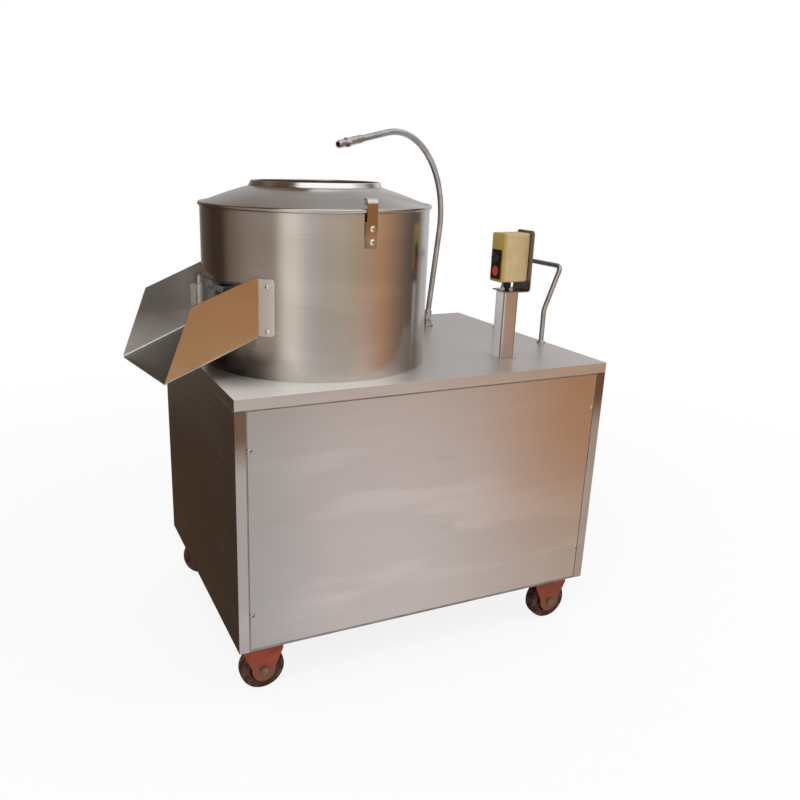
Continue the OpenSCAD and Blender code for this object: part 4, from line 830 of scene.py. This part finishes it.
for sheet_node in ("top_plate", "left_panel", "right_panel", "front_panel", "back_panel"):
    sheet = softened(sheet_node, 1.1 * MM, 3)
    if sheet_node == "top_plate":
        face_finishes(sheet, ("lip", "side"), top_plate_face)
    elif sheet_node in ("left_panel", "right_panel"):
        face_finishes(sheet, ("strip",), side_panel_face)
softened("caster_forks", 1.3 * MM, 3)
softened("caster_axles", 0.8 * MM)


def make_wheels():
    """Crowned tyres with two grooves and a moulded line on each side, on their cores."""
    side = [(33.0, 13.2), (36.5, 13.9), (39.4, 13.9), (39.9, 13.4), (40.5, 13.8), (42.4, 12.9),
            (43.9, 10.9), (44.5, 8.2), (44.7, 6.3), (43.4, 5.7), (43.4, 4.9), (44.8, 4.3), (45.0, 1.5)]
    pattern = turned([(r, -w) for r, w in side] + side[::-1], 72)
    for end in ("front", "back"):
        for hand in ("left", "right"):
            node = f"tyre_{end}_{hand}"
            tyre = copy_of(pattern, facing((0.0, 1.0, 0.0), middle_of(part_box(node))))
            finish_piece(tyre, node + "_tread", "tyre", node, angle=28.0)
            softened(f"wheel_{end}_{hand}", 0.8 * MM)
    bpy.data.objects.remove(pattern)


make_wheels()


# ------------------------------------------------------------------ drum, lid and clips
for drum_node, edge in (("drum_shell", 0.5), ("gate", 0.7), ("gate_handle", 1.2), ("gate_hinge", 0.5)):
    softened(drum_node, edge * MM)


def make_lid():
    """Spun lid: rolled rim, groove, cone, filleted collar with a curled edge."""
    seat_low, seat_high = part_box("lid")
    bead, mouth, z_cone, curl = 4.5, 125.0, 40.0, 1.7
    rim = (seat_high.x - seat_low.x) / 2.0 / MM - bead
    z_curl = (seat_high.z - seat_low.z) / MM - curl
    outline = [(rim - 5.5, 0.0), (rim, 0.0)]
    outline += arc(rim, bead, bead, -75, 115, 14)
    outline += [(rim - 3.0, 7.4), (rim - 4.5, 7.6), (rim - 6.5, 8.8)]
    for i in range(1, 12):
        share = i / 12.0
        r = rim - 6.5 + (mouth + 8.0 - rim + 6.5) * share
        z = 8.8 + (z_cone - 1.6 - 8.8) * share + 1.2 * math.sin(math.pi * share)
        outline.append((r, z))
    outline += [(mouth + 8.0, z_cone - 1.6), (mouth + 7.3, z_cone - 0.8), (mouth + 6.7, z_cone + 0.4)]
    outline += arc(mouth + 1.8, z_curl, curl, 22, 190, 12)
    outline += [(mouth + 0.1, z_cone + 1.0), (mouth + 1.2, z_cone - 1.4), (mouth + 5.0, z_cone - 3.2),
                (rim - 7.0, 6.6), (rim - 5.5, 2.0)]
    piece = turned(outline, 160)
    place(piece, Matrix.Translation((drum.x, drum.y, seat_low.z)))
    finish_piece(piece, "spun_lid", "lid", "lid", angle=50.0)

    # The collar's outside takes the near-white finish, a painted highlight.
    def collar_outside(face):
        outside = (face.center - drum).to_2d().dot(face.normal.to_2d()) > 0.0
        above_cone = face.center.z > seat_low.z + z_cone * MM
        return "collar" if outside and above_cone and abs(face.normal.z) < 0.75 else None

    face_finishes(piece, ("collar",), collar_outside)


def make_lid_clips():
    """Straps rolled over at the top, on packing blocks, one on each side of the lid."""
    low, rise, stand, thick, bend, hook, wide = -60.0, 18.0, 232.3, 2.5, 9.0, 17.0, 21.0
    roll, tip_low, packing_top = 3.0, 14.5, -13.0
    mid = stand + thick / 2.0
    line = [(mid, low), (mid, low * 0.5), (mid, 0.0), (mid, rise)]
    for i in range(1, 9):
        a = math.radians(90.0 * i / 8)
        line.append((stand + thick - bend + (bend - thick / 2) * math.cos(a),
                     rise + (bend - thick / 2) * math.sin(a)))
    tip = stand + thick - hook + thick / 2.0
    level = rise + bend - thick / 2.0
    for i in range(0, 6):
        a = math.radians(90.0 + 90.0 * i / 5)
        line.append((tip + roll + roll * math.cos(a), level - roll + roll * math.sin(a)))
    line.append((tip, tip_low))
    across = [-0.5, -0.47, -0.40, 0.0, 0.40, 0.47, 0.5]

    def point(i, j):
        r, z = line[j]
        corner = 1.0 if j else 0.86
        return Vector((r, across[i] * (wide - 0.4) * corner, z)) * MM

    strap = grid(len(across) - 1, len(line) - 1, point)
    thicken(strap, thick, 0.0, 0.5)
    packing = block(Vector((drum_r / MM + 0.02, -wide / 2 + 1.0, low + 1.5)) * MM,
                    Vector((stand + 0.1, wide / 2 - 1.0, packing_top)) * MM, 0.6 * MM)
    pattern = joined([strap, packing])
    straps = [copy_of(pattern, Matrix.Translation((drum.x, drum.y, rim_z))
                      @ Matrix.Rotation(math.radians(turn), 4, "Z")) for turn in (-86.0, 94.0)]
    bpy.data.objects.remove(pattern)
    whole = finish_piece(joined(straps), "lid_clip_straps", "strap", "lid_clips")
    # The hook tops take the lighter flange finish, a painted highlight.
    face_finishes(whole, ("flange",), lambda face: "flange" if face.center.z > rim_z + 16 * MM else None)


make_lid()
make_lid_clips()


# ------------------------------------------------------------------ chute
def chute_face(face):
    """Other finishes on the chute: a painted highlight on its flanges and end rims,
    a painted reflection on the outside of its front wall, and painted shade on its floor.
    """
    away = math.hypot(face.center.x - drum.x, face.center.y - drum.y)
    upright = abs(face.normal.y) > 0.9 and abs(face.normal.z) < 0.2
    if away < drum_r + 2.1 * MM:
        return "flange"
    if upright and face.normal.y < 0.0 and face.center.y < drum.y - 100 * MM:
        return "chute_outside"
    if face.normal.z > 0.85:
        return "chute_floor"
    return "flange" if not upright and face.normal.x < -0.4 else None


def make_chute():
    """One bent sheet: far wall, floor and near wall, each wall turned out to a flange on the drum."""
    half, root_out, thick, fold, corner, flange = 118.0, 9.0, 2.0, 6.0, 8.0, 32.0
    reach, top_reach, low_in, high, flange_top = 368.0, 316.0, 75.0, 190.0, 186.0
    slope = math.tan(math.radians(21.0))
    wall_r = drum_r / MM + thick
    floor_r = drum_r / MM + 0.1
    root = math.sqrt((drum_r / MM) ** 2 - half ** 2)
    pivot = (reach + top_reach) / 2.0
    near_half = half + root_out
    lean = root_out / (pivot - math.sqrt((drum_r / MM) ** 2 - near_half ** 2))

    def floor_z(x):
        return low_in - (x - root) * slope

    def side_y(side, x):
        return half + (pivot - x) * lean if side > 0 else -half

    def between(a, b, share):
        return a + (b - a) * share

    lengthways = [i / 22.0 for i in range(23)]
    end_top = high - (top_reach - root) * slope

    def root_y(side):
        return near_half if side > 0 else half

    def root_x(side):
        return math.sqrt(wall_r ** 2 - root_y(side) ** 2)

    def heights(side):
        foot = floor_z(root_x(side)) + fold
        full = (flange_top - foot) / (high - foot)
        return [full * i / 12.0 for i in range(13)] + [1.0]

    def wall(side, u, h):
        x0 = root_x(side)
        x_low = between(x0, reach, u)
        low_z = floor_z(x_low) + fold
        x = between(x_low, between(x0, top_reach, u), h)
        return Vector((x, side_y(side, x), between(low_z, between(high, end_top, u), h)))

    def corner_fold(side, u, angle):
        share = angle / 90.0
        y0 = root_y(side) - fold * share
        x0 = math.sqrt(between(wall_r, floor_r, share) ** 2 - y0 ** 2)
        x = between(x0, reach, u)
        a = math.radians(angle)
        y = side_y(side, x) - side * fold * (1.0 - math.cos(a))
        return Vector((x, y, floor_z(x) + fold - fold * math.sin(a)))

    def floor(u, share):
        ends = [corner_fold(side, u, 90.0) for side in (-1, 1)]
        y = between(ends[0].y, ends[1].y, share)
        x = between(math.sqrt(floor_r ** 2 - y ** 2), reach, u)
        return Vector((x, y, floor_z(x)))

    rows = [("wall", -1, h) for h in reversed(heights(-1))]
    rows += [("fold", -1, a) for a in (15.0, 30.0, 45.0, 60.0, 75.0)]
    rows += [("floor", 0, i / 18.0) for i in range(19)]
    rows += [("fold", 1, a) for a in (75.0, 60.0, 45.0, 30.0, 15.0)]
    rows += [("wall", 1, h) for h in heights(1)]

    def point(i, j):
        kind, side, value = rows[j]
        u = lengthways[i]
        if kind == "wall":
            return wall(side, u, value) * MM
        if kind == "fold":
            return corner_fold(side, u, value) * MM
        return floor(u, value) * MM

    sheet = grid(len(lengthways) - 1, len(rows) - 1, point)

    offsets = [0.0, 0.3, 1.0, 2.0, 3.5, 5.5, 8.0, 12.0, 17.0, 22.0, 27.0, flange]
    flanges = []
    for side in (-1, 1):
        start = math.asin(root_y(side) / wall_r)
        foot = floor_z(root_x(side)) + fold
        steps = heights(side)[:-1]
        if side < 0:
            steps = steps[::-1]

        def on_drum(i, j):
            angle = start + (flange - offsets[i]) / wall_r
            cut = 0.0
            if offsets[i] < corner:
                cut = corner - math.sqrt(corner ** 2 - (corner - offsets[i]) ** 2)
            share = steps[j] / max(steps)
            z = between(foot + cut, flange_top - cut, share)
            return Vector((wall_r * math.cos(angle), side * wall_r * math.sin(angle), z)) * MM

        flanges.append(grid(len(offsets) - 1, len(steps) - 1, on_drum))
    sheet = joined([sheet] + flanges)
    edit_all(sheet)
    bpy.ops.mesh.remove_doubles(threshold=0.02 * MM)
    end_edit()
    add_modifier(sheet, "bend", "BEVEL", width=3.0 * MM, segments=4, limit_method="ANGLE",
                 angle_limit=math.radians(35.0))
    apply_modifiers(sheet)
    thicken(sheet, thick, 1.0, 0.5)
    place(sheet, Matrix.Translation(drum) @ Matrix.Rotation(math.radians(189.0), 4, "Z"))
    finish_piece(sheet, "bent_chute", "chute", "chute", angle=30.0)
    face_finishes(sheet, ("chute_outside", "flange", "chute_floor"), chute_face)


make_chute()


# ------------------------------------------------------------------ gooseneck and nozzle
def ribbed(line, radius):
    """A ribbed hose along a line of points, with its radius over the ribs, in millimetres."""
    rib = 3.4
    profile = ((0.0, 0.90), (0.14, 0.985), (0.36, 1.0), (0.60, 1.0), (0.82, 0.985), (0.96, 0.90))
    lengths = [0.0]
    for a, b in zip(line, line[1:]):
        lengths.append(lengths[-1] + (b - a).length)
    points, widths, section = [], [], 0
    for k in range(int(lengths[-1] / rib)):
        for share, width in profile:
            along = (k + share) * rib
            while section < len(line) - 2 and along > lengths[section + 1]:
                section += 1
            part = (along - lengths[section]) / (lengths[section + 1] - lengths[section])
            points.append(line[section].lerp(line[section + 1], part) * MM)
            widths.append(width)
    return tube(points, radius * MM, 16, widths)


def make_gooseneck():
    """Ribbed metal hose on a swivel nut, leaning back from the drum and bent over it, with its nozzle."""
    foot = middle_of(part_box("gooseneck_base"))
    foot.z = top
    lean, rise, bend, out, fall = math.radians(9.0), 233.0, 193.0, 90.0, math.radians(10.0)
    nut_z, ferrule_z, hose_z, steps = 15.3, 20.0, 34.0, 60
    aim = drum + Vector((50.0, 32.0, 0.0)) * MM
    turn = math.atan2(aim.y - foot.y, aim.x - foot.x)
    stand = Matrix.Translation(foot) @ Matrix.Rotation(turn, 4, "Z")
    leant = stand @ Matrix.Rotation(-lean, 4, "Y")
    sweep = math.pi / 2.0 + lean + fall
    line = [Vector((0.0, 0.0, hose_z)), Vector((0.0, 0.0, rise))]
    for i in range(1, steps + 1):
        a = sweep * i / steps
        line.append(Vector((bend - bend * math.cos(a), 0.0, rise + bend * math.sin(a))))
    onward = Vector((math.sin(sweep), 0.0, math.cos(sweep)))
    line.append(line[-1] + onward * (out + 2.0))

    hose = ribbed(line, 6.95)
    place(hose, leant)

    nut = turned([(11.9, 1.0), (11.9, 11.0), (10.6, 12.0), (4.0, 12.0), (4.0, 0.0), (10.6, 0.0)], 6)
    place(nut, stand @ Matrix.Translation((0.0, 0.0, nut_z * MM)))
    ferrule = turned([(6.0, 0.0), (9.4, 0.0), (9.4, 9.0), (8.8, 9.6), (8.8, 10.8), (9.4, 11.4),
                      (9.4, 15.0), (8.6, 17.6), (6.0, 18.0)], 32)
    place(ferrule, leant @ Matrix.Translation((0.0, 0.0, ferrule_z * MM)))
    whole = joined([hose, nut, ferrule])
    finish_piece(whole, "gooseneck_hose", "hose", "gooseneck", angle=40.0)

    end = leant @ Matrix.Translation(line[-2] * MM) @ Matrix.Rotation(sweep, 4, "Y")
    end = end @ Matrix.Translation((0.0, 0.0, out * MM))
    outline = [(7.0, 0.0), (8.0, 0.3), (8.5, 1.2), (8.5, 8.0), (8.0, 8.7), (8.0, 10.3), (8.5, 11.0),
               (8.5, 27.0), (8.0, 27.7), (8.0, 29.3), (8.5, 30.0), (8.5, 41.0), (8.0, 42.0), (7.6, 48.0),
               (6.6, 51.5), (6.5, 55.5), (7.2, 57.6), (7.9, 59.2), (8.0, 60.6), (8.0, 69.8), (7.7, 72.2),
               (7.0, 75.4), (6.4, 76.0), (4.4, 76.0), (4.0, 75.2), (4.0, 40.0), (4.0, 2.0)]
    spout = turned(outline, 40)
    collar = turned([(9.6, 42.0), (10.5, 42.9), (10.5, 50.1), (9.6, 51.0), (6.9, 51.0), (6.9, 42.0)], 6)
    nozzle = joined([spout, collar])
    place(nozzle, end)
    finish_piece(nozzle, "nozzle_spout", "nozzle", "nozzle", angle=32.0)


make_gooseneck()
softened("gooseneck_base", 0.8 * MM)


# ------------------------------------------------------------------ push handle
def make_push_handle():
    """Bent tube with two welded feet."""
    x, y, wide, knee, high, out = right - 14.0 * MM, (front + back) / 2.0, 90.0, 76.0, 173.0, 36.0
    corners = [(0.0, -wide, 1.0), (0.0, -wide, knee), (out, -wide, high),
               (out, wide, high), (0.0, wide, knee), (0.0, wide, 1.0)]
    path = [p * MM for p in filleted(corners, (45.0, 13.0, 13.0, 45.0), 12)]
    parts = [tube(path, 5.5 * MM, 24)]
    for side in (-1.0, 1.0):
        foot = turned([(4.0, 0.0), (10.0, 0.0), (10.0, 2.2), (9.3, 3.0), (7.4, 3.2), (6.2, 4.4),
                       (5.4, 6.0), (4.0, 6.0)], 32)
        parts.append(place(foot, Matrix.Translation((0.0, side * wide * MM, 0.0))))
    whole = joined(parts)
    place(whole, Matrix.Translation((x, y, top)))
    finish_piece(whole, "bent_push_handle", "tube", "push_handle", angle=40.0)


make_push_handle()


# ------------------------------------------------------------------ switch
post_low, post_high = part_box("switch_post")
box_low, box_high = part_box("switch_box")
cover_x = box_low.x - 6.0 * MM
plate_x = cover_x - 2.0 * MM
switch_y = (box_low.y + box_high.y) / 2.0
buttons = {"on_button": "green", "off_button": "red"}
button_levels = [middle_of(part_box(node)).z for node in buttons]
cap_r, hole_r = 11.0, 11.4  # millimetres, with room for a button to travel


def make_post():
    """Square tube with rounded edges, open at the top, on a foot plate."""
    axis = middle_of((post_low, post_high))
    half, wall, corner = 18.0, 2.5, 7.0

    def square(reach, low, high):
        out = Vector((reach, reach)) * MM
        return block((*(axis.xy - out), low), (*(axis.xy + out), high))

    post = square(half, top + 1 * MM, post_high.z)
    round_edges(post, corner * MM, 6, along_z)
    hollow = square(half - wall, top + 3 * MM, post_high.z + 9 * MM)
    round_edges(hollow, (corner - wall) * MM, 4, along_z)
    cut_away(post, [hollow])
    foot = block((post_low.x, post_low.y, top), (post_high.x, post_high.y, top + 2 * MM))
    round_edges(foot, 5.0 * MM, 5, along_z)
    round_edges(foot, 0.6 * MM, 2, lambda mid, along: abs(along.z) < 0.9 and mid.z > top + 1 * MM)
    whole = finish_piece(joined([post, foot]), "round_edged_post", "post", "switch_post", angle=30.0)

    # The left side takes the near-white finish, a painted highlight.
    def left_side(face):
        return "post_side" if abs(face.normal.x) > 0.95 and face.center.x < axis.x else None

    face_finishes(whole, ("post_side",), left_side)


def make_bracket():
    """Bent strip from the post up behind the box, narrowed with rounded corners at its top."""
    low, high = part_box("switch_bracket")
    span = (high - low) / MM
    thick, bend = 2.5, 5.0
    flat, upright = thick / 2, span.x - thick / 2
    line = [(0.0, flat), (span.x * 0.5, flat), (upright - bend, flat)]
    for i in range(1, 8):
        a = math.radians(-90.0 + 90.0 * i / 7)
        line.append((upright - bend + bend * math.cos(a), flat + bend + bend * math.sin(a)))
    line += [(upright, span.z * 0.5)] + [(upright, span.z - down) for down in (7.0, 3.0, 1.0, 0.0)]
    inset = {0: 2.0, len(line) - 1: 6.0, len(line) - 2: 3.4, len(line) - 3: 1.4}
    across = [0.0, 0.1, 0.3, 0.5, 0.7, 0.9, 1.0]

    def point(i, j):
        x, z = line[j]
        edge = inset.get(j, 0.0)
        y = edge + (span.y - 2 * edge) * across[i]
        return low + Vector((x, y, z)) * MM

    bracket = grid(len(across) - 1, len(line) - 1, point)
    thicken(bracket, thick, 0.0, 0.5)
    finish_piece(bracket, "bent_bracket", "bracket", "switch_bracket")


def make_box():
    """Moulded box behind the cover."""
    box = block(box_low, box_high)
    round_edges(box, 4.0 * MM, 5, along_x)
    round_edges(box, 2.5 * MM, 4, lambda mid, along: mid.x > box_high.x - 1 * MM)
    round_edges(box, 0.7 * MM, 2, lambda mid, along: mid.x < box_low.x + 0.1 * MM)
    finish_piece(box, "moulded_switch_box", "cream", "switch_box", angle=30.0)


def button_holes():
    """Cutters for the two buttons, with room round their caps."""
    holes = []
    for level in button_levels:
        hole = turned([(hole_r, 0.0), (hole_r, 24.0), (0.001, 24.0), (0.001, 0.0)], 48)
        holes.append(place(hole, facing((1.0, 0.0, 0.0), (cover_x - 12.0 * MM, switch_y, level))))
    return holes


def make_cover():
    """Moulded cover with a raised bare field at its top."""
    cover = block((cover_x, box_low.y, box_low.z), (box_low.x, box_high.y, box_high.z))
    round_edges(cover, 4.0 * MM, 5, along_x)
    round_edges(cover, 2.2 * MM, 4, lambda mid, along: mid.x < cover_x + 0.1 * MM)
    field = block((cover_x - 0.6 * MM, box_low.y + 4.5 * MM, button_levels[0] + 22.5 * MM),
                  (cover_x + 0.5 * MM, box_high.y - 4.5 * MM, box_high.z - 5.5 * MM))
    round_edges(field, 1.5 * MM, 3, along_x)
    cut_away(cover, button_holes())
    finish_piece(joined([cover, field]), "moulded_cover", "yellow", "switch_cover", angle=30.0)


def make_surround():
    """Plate round the buttons, with a low ring at each."""
    low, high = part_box("button_plate")
    plate = block((plate_x, low.y, low.z), (cover_x, high.y, high.z))
    round_edges(plate, 3.0 * MM, 4, along_x)
    round_edges(plate, 0.8 * MM, 2, lambda mid, along: mid.x < plate_x + 0.1 * MM)
    rings = []
    for level in button_levels:
        ring = turned([(hole_r, 0.0), (12.5, 0.0), (12.4, 1.2), (12.1, 1.5), (hole_r, 1.5)], 48)
        rings.append(place(ring, facing((-1.0, 0.0, 0.0), (plate_x, switch_y, level))))
    cut_away(plate, button_holes())
    finish_piece(joined([plate] + rings), "button_surround", "surround", "button_plate", angle=30.0)


def make_buttons():
    """Round caps with a softly dished face."""
    foot = 16.9
    pattern = turned([(cap_r, foot), (cap_r, 1.6), (10.8, 0.8), (10.2, 0.25), (9.4, 0.05), (8.4, 0.3),
                      (6.0, 0.9), (3.0, 1.25), (0.001, 1.35), (0.001, foot)], 48)
    for node, finish in buttons.items():
        low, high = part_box(node)
        button = copy_of(pattern, facing((1.0, 0.0, 0.0), (low.x, switch_y, (low.z + high.z) / 2.0)))
        finish_piece(button, node + "_cap", finish, node, angle=40.0)
    bpy.data.objects.remove(pattern)


def make_cable():
    """Short cord under the box, with its gland nut."""
    low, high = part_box("switch_cable")
    x, y = (low.x + high.x) / 2.0, (low.y + high.y) / 2.0
    cord = tube([Vector((x, y, low.z)), Vector((x, y, high.z))], 4.5 * MM, 24)
    tall = 14.0
    nut = turned([(4.6, 0.0), (6.4, 0.0), (7.2, 1.2), (7.9, 4.0), (7.9, 9.0), (7.0, 9.4), (7.0, 10.2),
                  (8.0, 10.6), (8.0, tall), (4.6, tall)], 12)
    place(nut, Matrix.Translation((x, y, high.z - tall * MM)))
    finish_piece(joined([cord, nut]), "switch_cord_and_gland", "black", "switch_cable", angle=25.0)


make_post()
make_bracket()
make_box()
make_cover()
make_surround()
make_buttons()
make_cable()


# ------------------------------------------------------------------ drive, water and back
cast_edges = {
    "large_pulley": 1.2, "motor_pulley": 0.6, "bearing_housing": 1.5, "motor_terminal_box": 3.0,
    "motor_fan_cover": 0.5, "motor_plate": 1.0, "motor_bolts": 0.7, "housing_bolts": 0.6, "disc_nut": 1.2,
    "waste_paddles": 1.0, "drain_pipe": 0.4, "water_inlet": 0.6, "mains_gland": 0.6, "main_shaft": 0.8,
    "motor_shaft": 0.8, "drum_floor": 0.6,
}
for drive_node, edge in cast_edges.items():
    softened(drive_node, edge * MM)


# ------------------------------------------------------------------ studio
def make_camera():
    """A camera in front of the machine's left end, a little higher than the lid and looking down."""
    azimuth, elevation, roll = (math.radians(a) for a in (24.195, 17.289, 1.300))
    forward = Vector((math.sin(azimuth) * math.cos(elevation),
                      math.cos(azimuth) * math.cos(elevation), -math.sin(elevation)))
    side = forward.cross(Vector((0.0, 0.0, 1.0))).normalized()
    upward = side.cross(forward)
    rolled_side = side * math.cos(roll) + upward * math.sin(roll)
    rolled_up = upward * math.cos(roll) - side * math.sin(roll)
    sensor, frame_px, focal_px, right_px, up_px = 36.0, 800.0, 786.3, 50.0, 5.5
    data = bpy.data.cameras.new("view")
    data.sensor_width = sensor
    data.lens = focal_px / frame_px * sensor
    data.shift_x = right_px / frame_px
    data.shift_y = up_px / frame_px
    camera = bpy.data.objects.new("view", data)
    scene.collection.objects.link(camera)
    turn = Matrix((rolled_side, rolled_up, -forward)).transposed().to_4x4()
    stand = (left - 0.3407, front - 1.2377, top + 0.3905)
    camera.matrix_world = Matrix.Translation(stand) @ turn
    scene.camera = camera


def make_floor():
    """A pale floor that the camera sees as near white, with the machine's soft shadow near it."""
    bpy.ops.object.select_all(action="DESELECT")
    bpy.ops.mesh.primitive_circle_add(vertices=96, radius=14.0, fill_type="NGON", location=(0, 0, 0))
    floor = bpy.context.object
    floor.name = "floor"
    f = Finish("pale_floor")
    f.set(Base_Color=(0.93, 0.93, 0.93), Roughness=0.9, Metallic=0.0)
    f.shader.inputs["Specular IOR Level"].default_value = 0.0
    own = Wire(f, f.shader.outputs[0])
    glow = f.node("ShaderNodeEmission", None, {"Color": (1.0, 1.0, 1.0), "Strength": 1.0})
    clear = f.node("ShaderNodeBsdfTransparent")
    x, y, z = f.split(f.here())
    away = (x * x + y * y) ** 0.5
    near, far, under, beyond = 0.7, 2.6, 0.86, 1.0
    lit = f.node("ShaderNodeMixShader", None, (away.rise(near, far) * (beyond - under) + under, own, glow))
    seen = f.node("ShaderNodeMixShader", None, (f.ray("Camera") + f.ray("Transmission"), own, lit))
    whole = f.node("ShaderNodeMixShader", None, (f.ray("Glossy"), seen, clear))
    f.tree.links.new(whole.socket, f.tree.nodes["Material Output"].inputs["Surface"])
    floor.data.materials.append(f.material)


def make_world():
    """White behind the machine; for its reflections a room with a window, a tan wall and dark corners."""
    f = Finish("studio", bpy.data.worlds)
    scene.world = f.material
    direction = f.node("ShaderNodeTexCoord", output=0)
    x, y, z = f.split(direction)
    angle = f.node("ShaderNodeMath", {"operation": "ARCTAN2"}, (y, x))
    ahead = math.radians(114.2)
    turn = f.node("ShaderNodeMath", {"operation": "FRACT"}, ((angle + ahead) / (2.0 * math.pi) + 1.5,))
    lit, window, pale = (1.0, 1.0, 1.0), (0.93, 0.86, 0.77), (0.62, 0.61, 0.615)
    rose, sand, clay = (0.87, 0.81, 0.83), (0.57, 0.50, 0.42), (0.56, 0.425, 0.31)
    tan, beige, ash = (0.58, 0.33, 0.20), (0.36, 0.30, 0.26), (0.41, 0.40, 0.39)
    brown, umber, dark = (0.21, 0.155, 0.115), (0.13, 0.105, 0.085), (0.062, 0.038, 0.024)
    wall = ((-180, pale), (-164, ash), (-146, umber), (-118, dark), (-100, dark), (-88, brown),
            (-60, beige), (-37, beige), (-25, window), (-15, window), (-4, pale), (11, sand), (25, sand),
            (44, clay), (72, tan), (102, brown), (114, umber), (126, umber), (142, pale), (180, pale))
    ground = ((-180, pale), (-156, dark), (-100, dark), (-86, brown), (-62, beige), (-36, sand),
              (-24, window), (0, pale), (32, pale), (54, rose), (70, clay), (94, brown), (124, brown),
              (146, pale), (180, pale))
    ceiling = ((-180, ash), (-150, brown), (-110, brown), (-80, dark), (-40, dark), (-31, lit),
               (78, lit), (92, pale), (150, pale), (166, ash), (180, ash))

    def around(colours):
        stops = [(0.5 + degrees / 360.0, colour) for degrees, colour in colours]
        return f.node("ShaderNodeValToRGB", {"stops": stops}, (turn,))

    low = f.mix(z.rise(-0.33, -0.20), around(ground), around(wall))
    room = f.mix(z.rise(0.36, 0.58), low, around(ceiling))
    plain = f.mix(f.ray("Glossy"), (0.62, 0.61, 0.60), room)
    seen = f.mix(f.ray("Camera") + f.ray("Transmission"), plain, (1.0, 1.0, 1.0))
    f.tree.links.new(seen.socket, f.tree.nodes["Background"].inputs["Color"])
    f.tree.nodes["Background"].inputs["Strength"].default_value = 1.0


def make_lamp(name, stand, target, size, power, colour):
    """A round area lamp that shows in no reflection."""
    data = bpy.data.lights.new(name, "AREA")
    data.shape = "DISK"
    data.size = size
    data.energy = power
    data.color = colour
    lamp = bpy.data.objects.new(name, data)
    scene.collection.objects.link(lamp)
    lamp.visible_glossy = False
    lamp.location = stand
    lamp.rotation_euler = (Vector(target) - Vector(stand)).to_track_quat("-Z", "Y").to_euler()


make_camera()
make_floor()
make_world()
make_lamp("key", (-1.6, -1.8, 2.6), (0.0, 0.0, 0.6), 1.6, 38.0, (1.0, 0.98, 0.95))
make_lamp("fill", (1.9, -1.2, 1.8), (0.0, 0.0, 0.5), 1.6, 14.0, (1.0, 0.95, 0.90))
scene.view_settings.view_transform = "Standard"
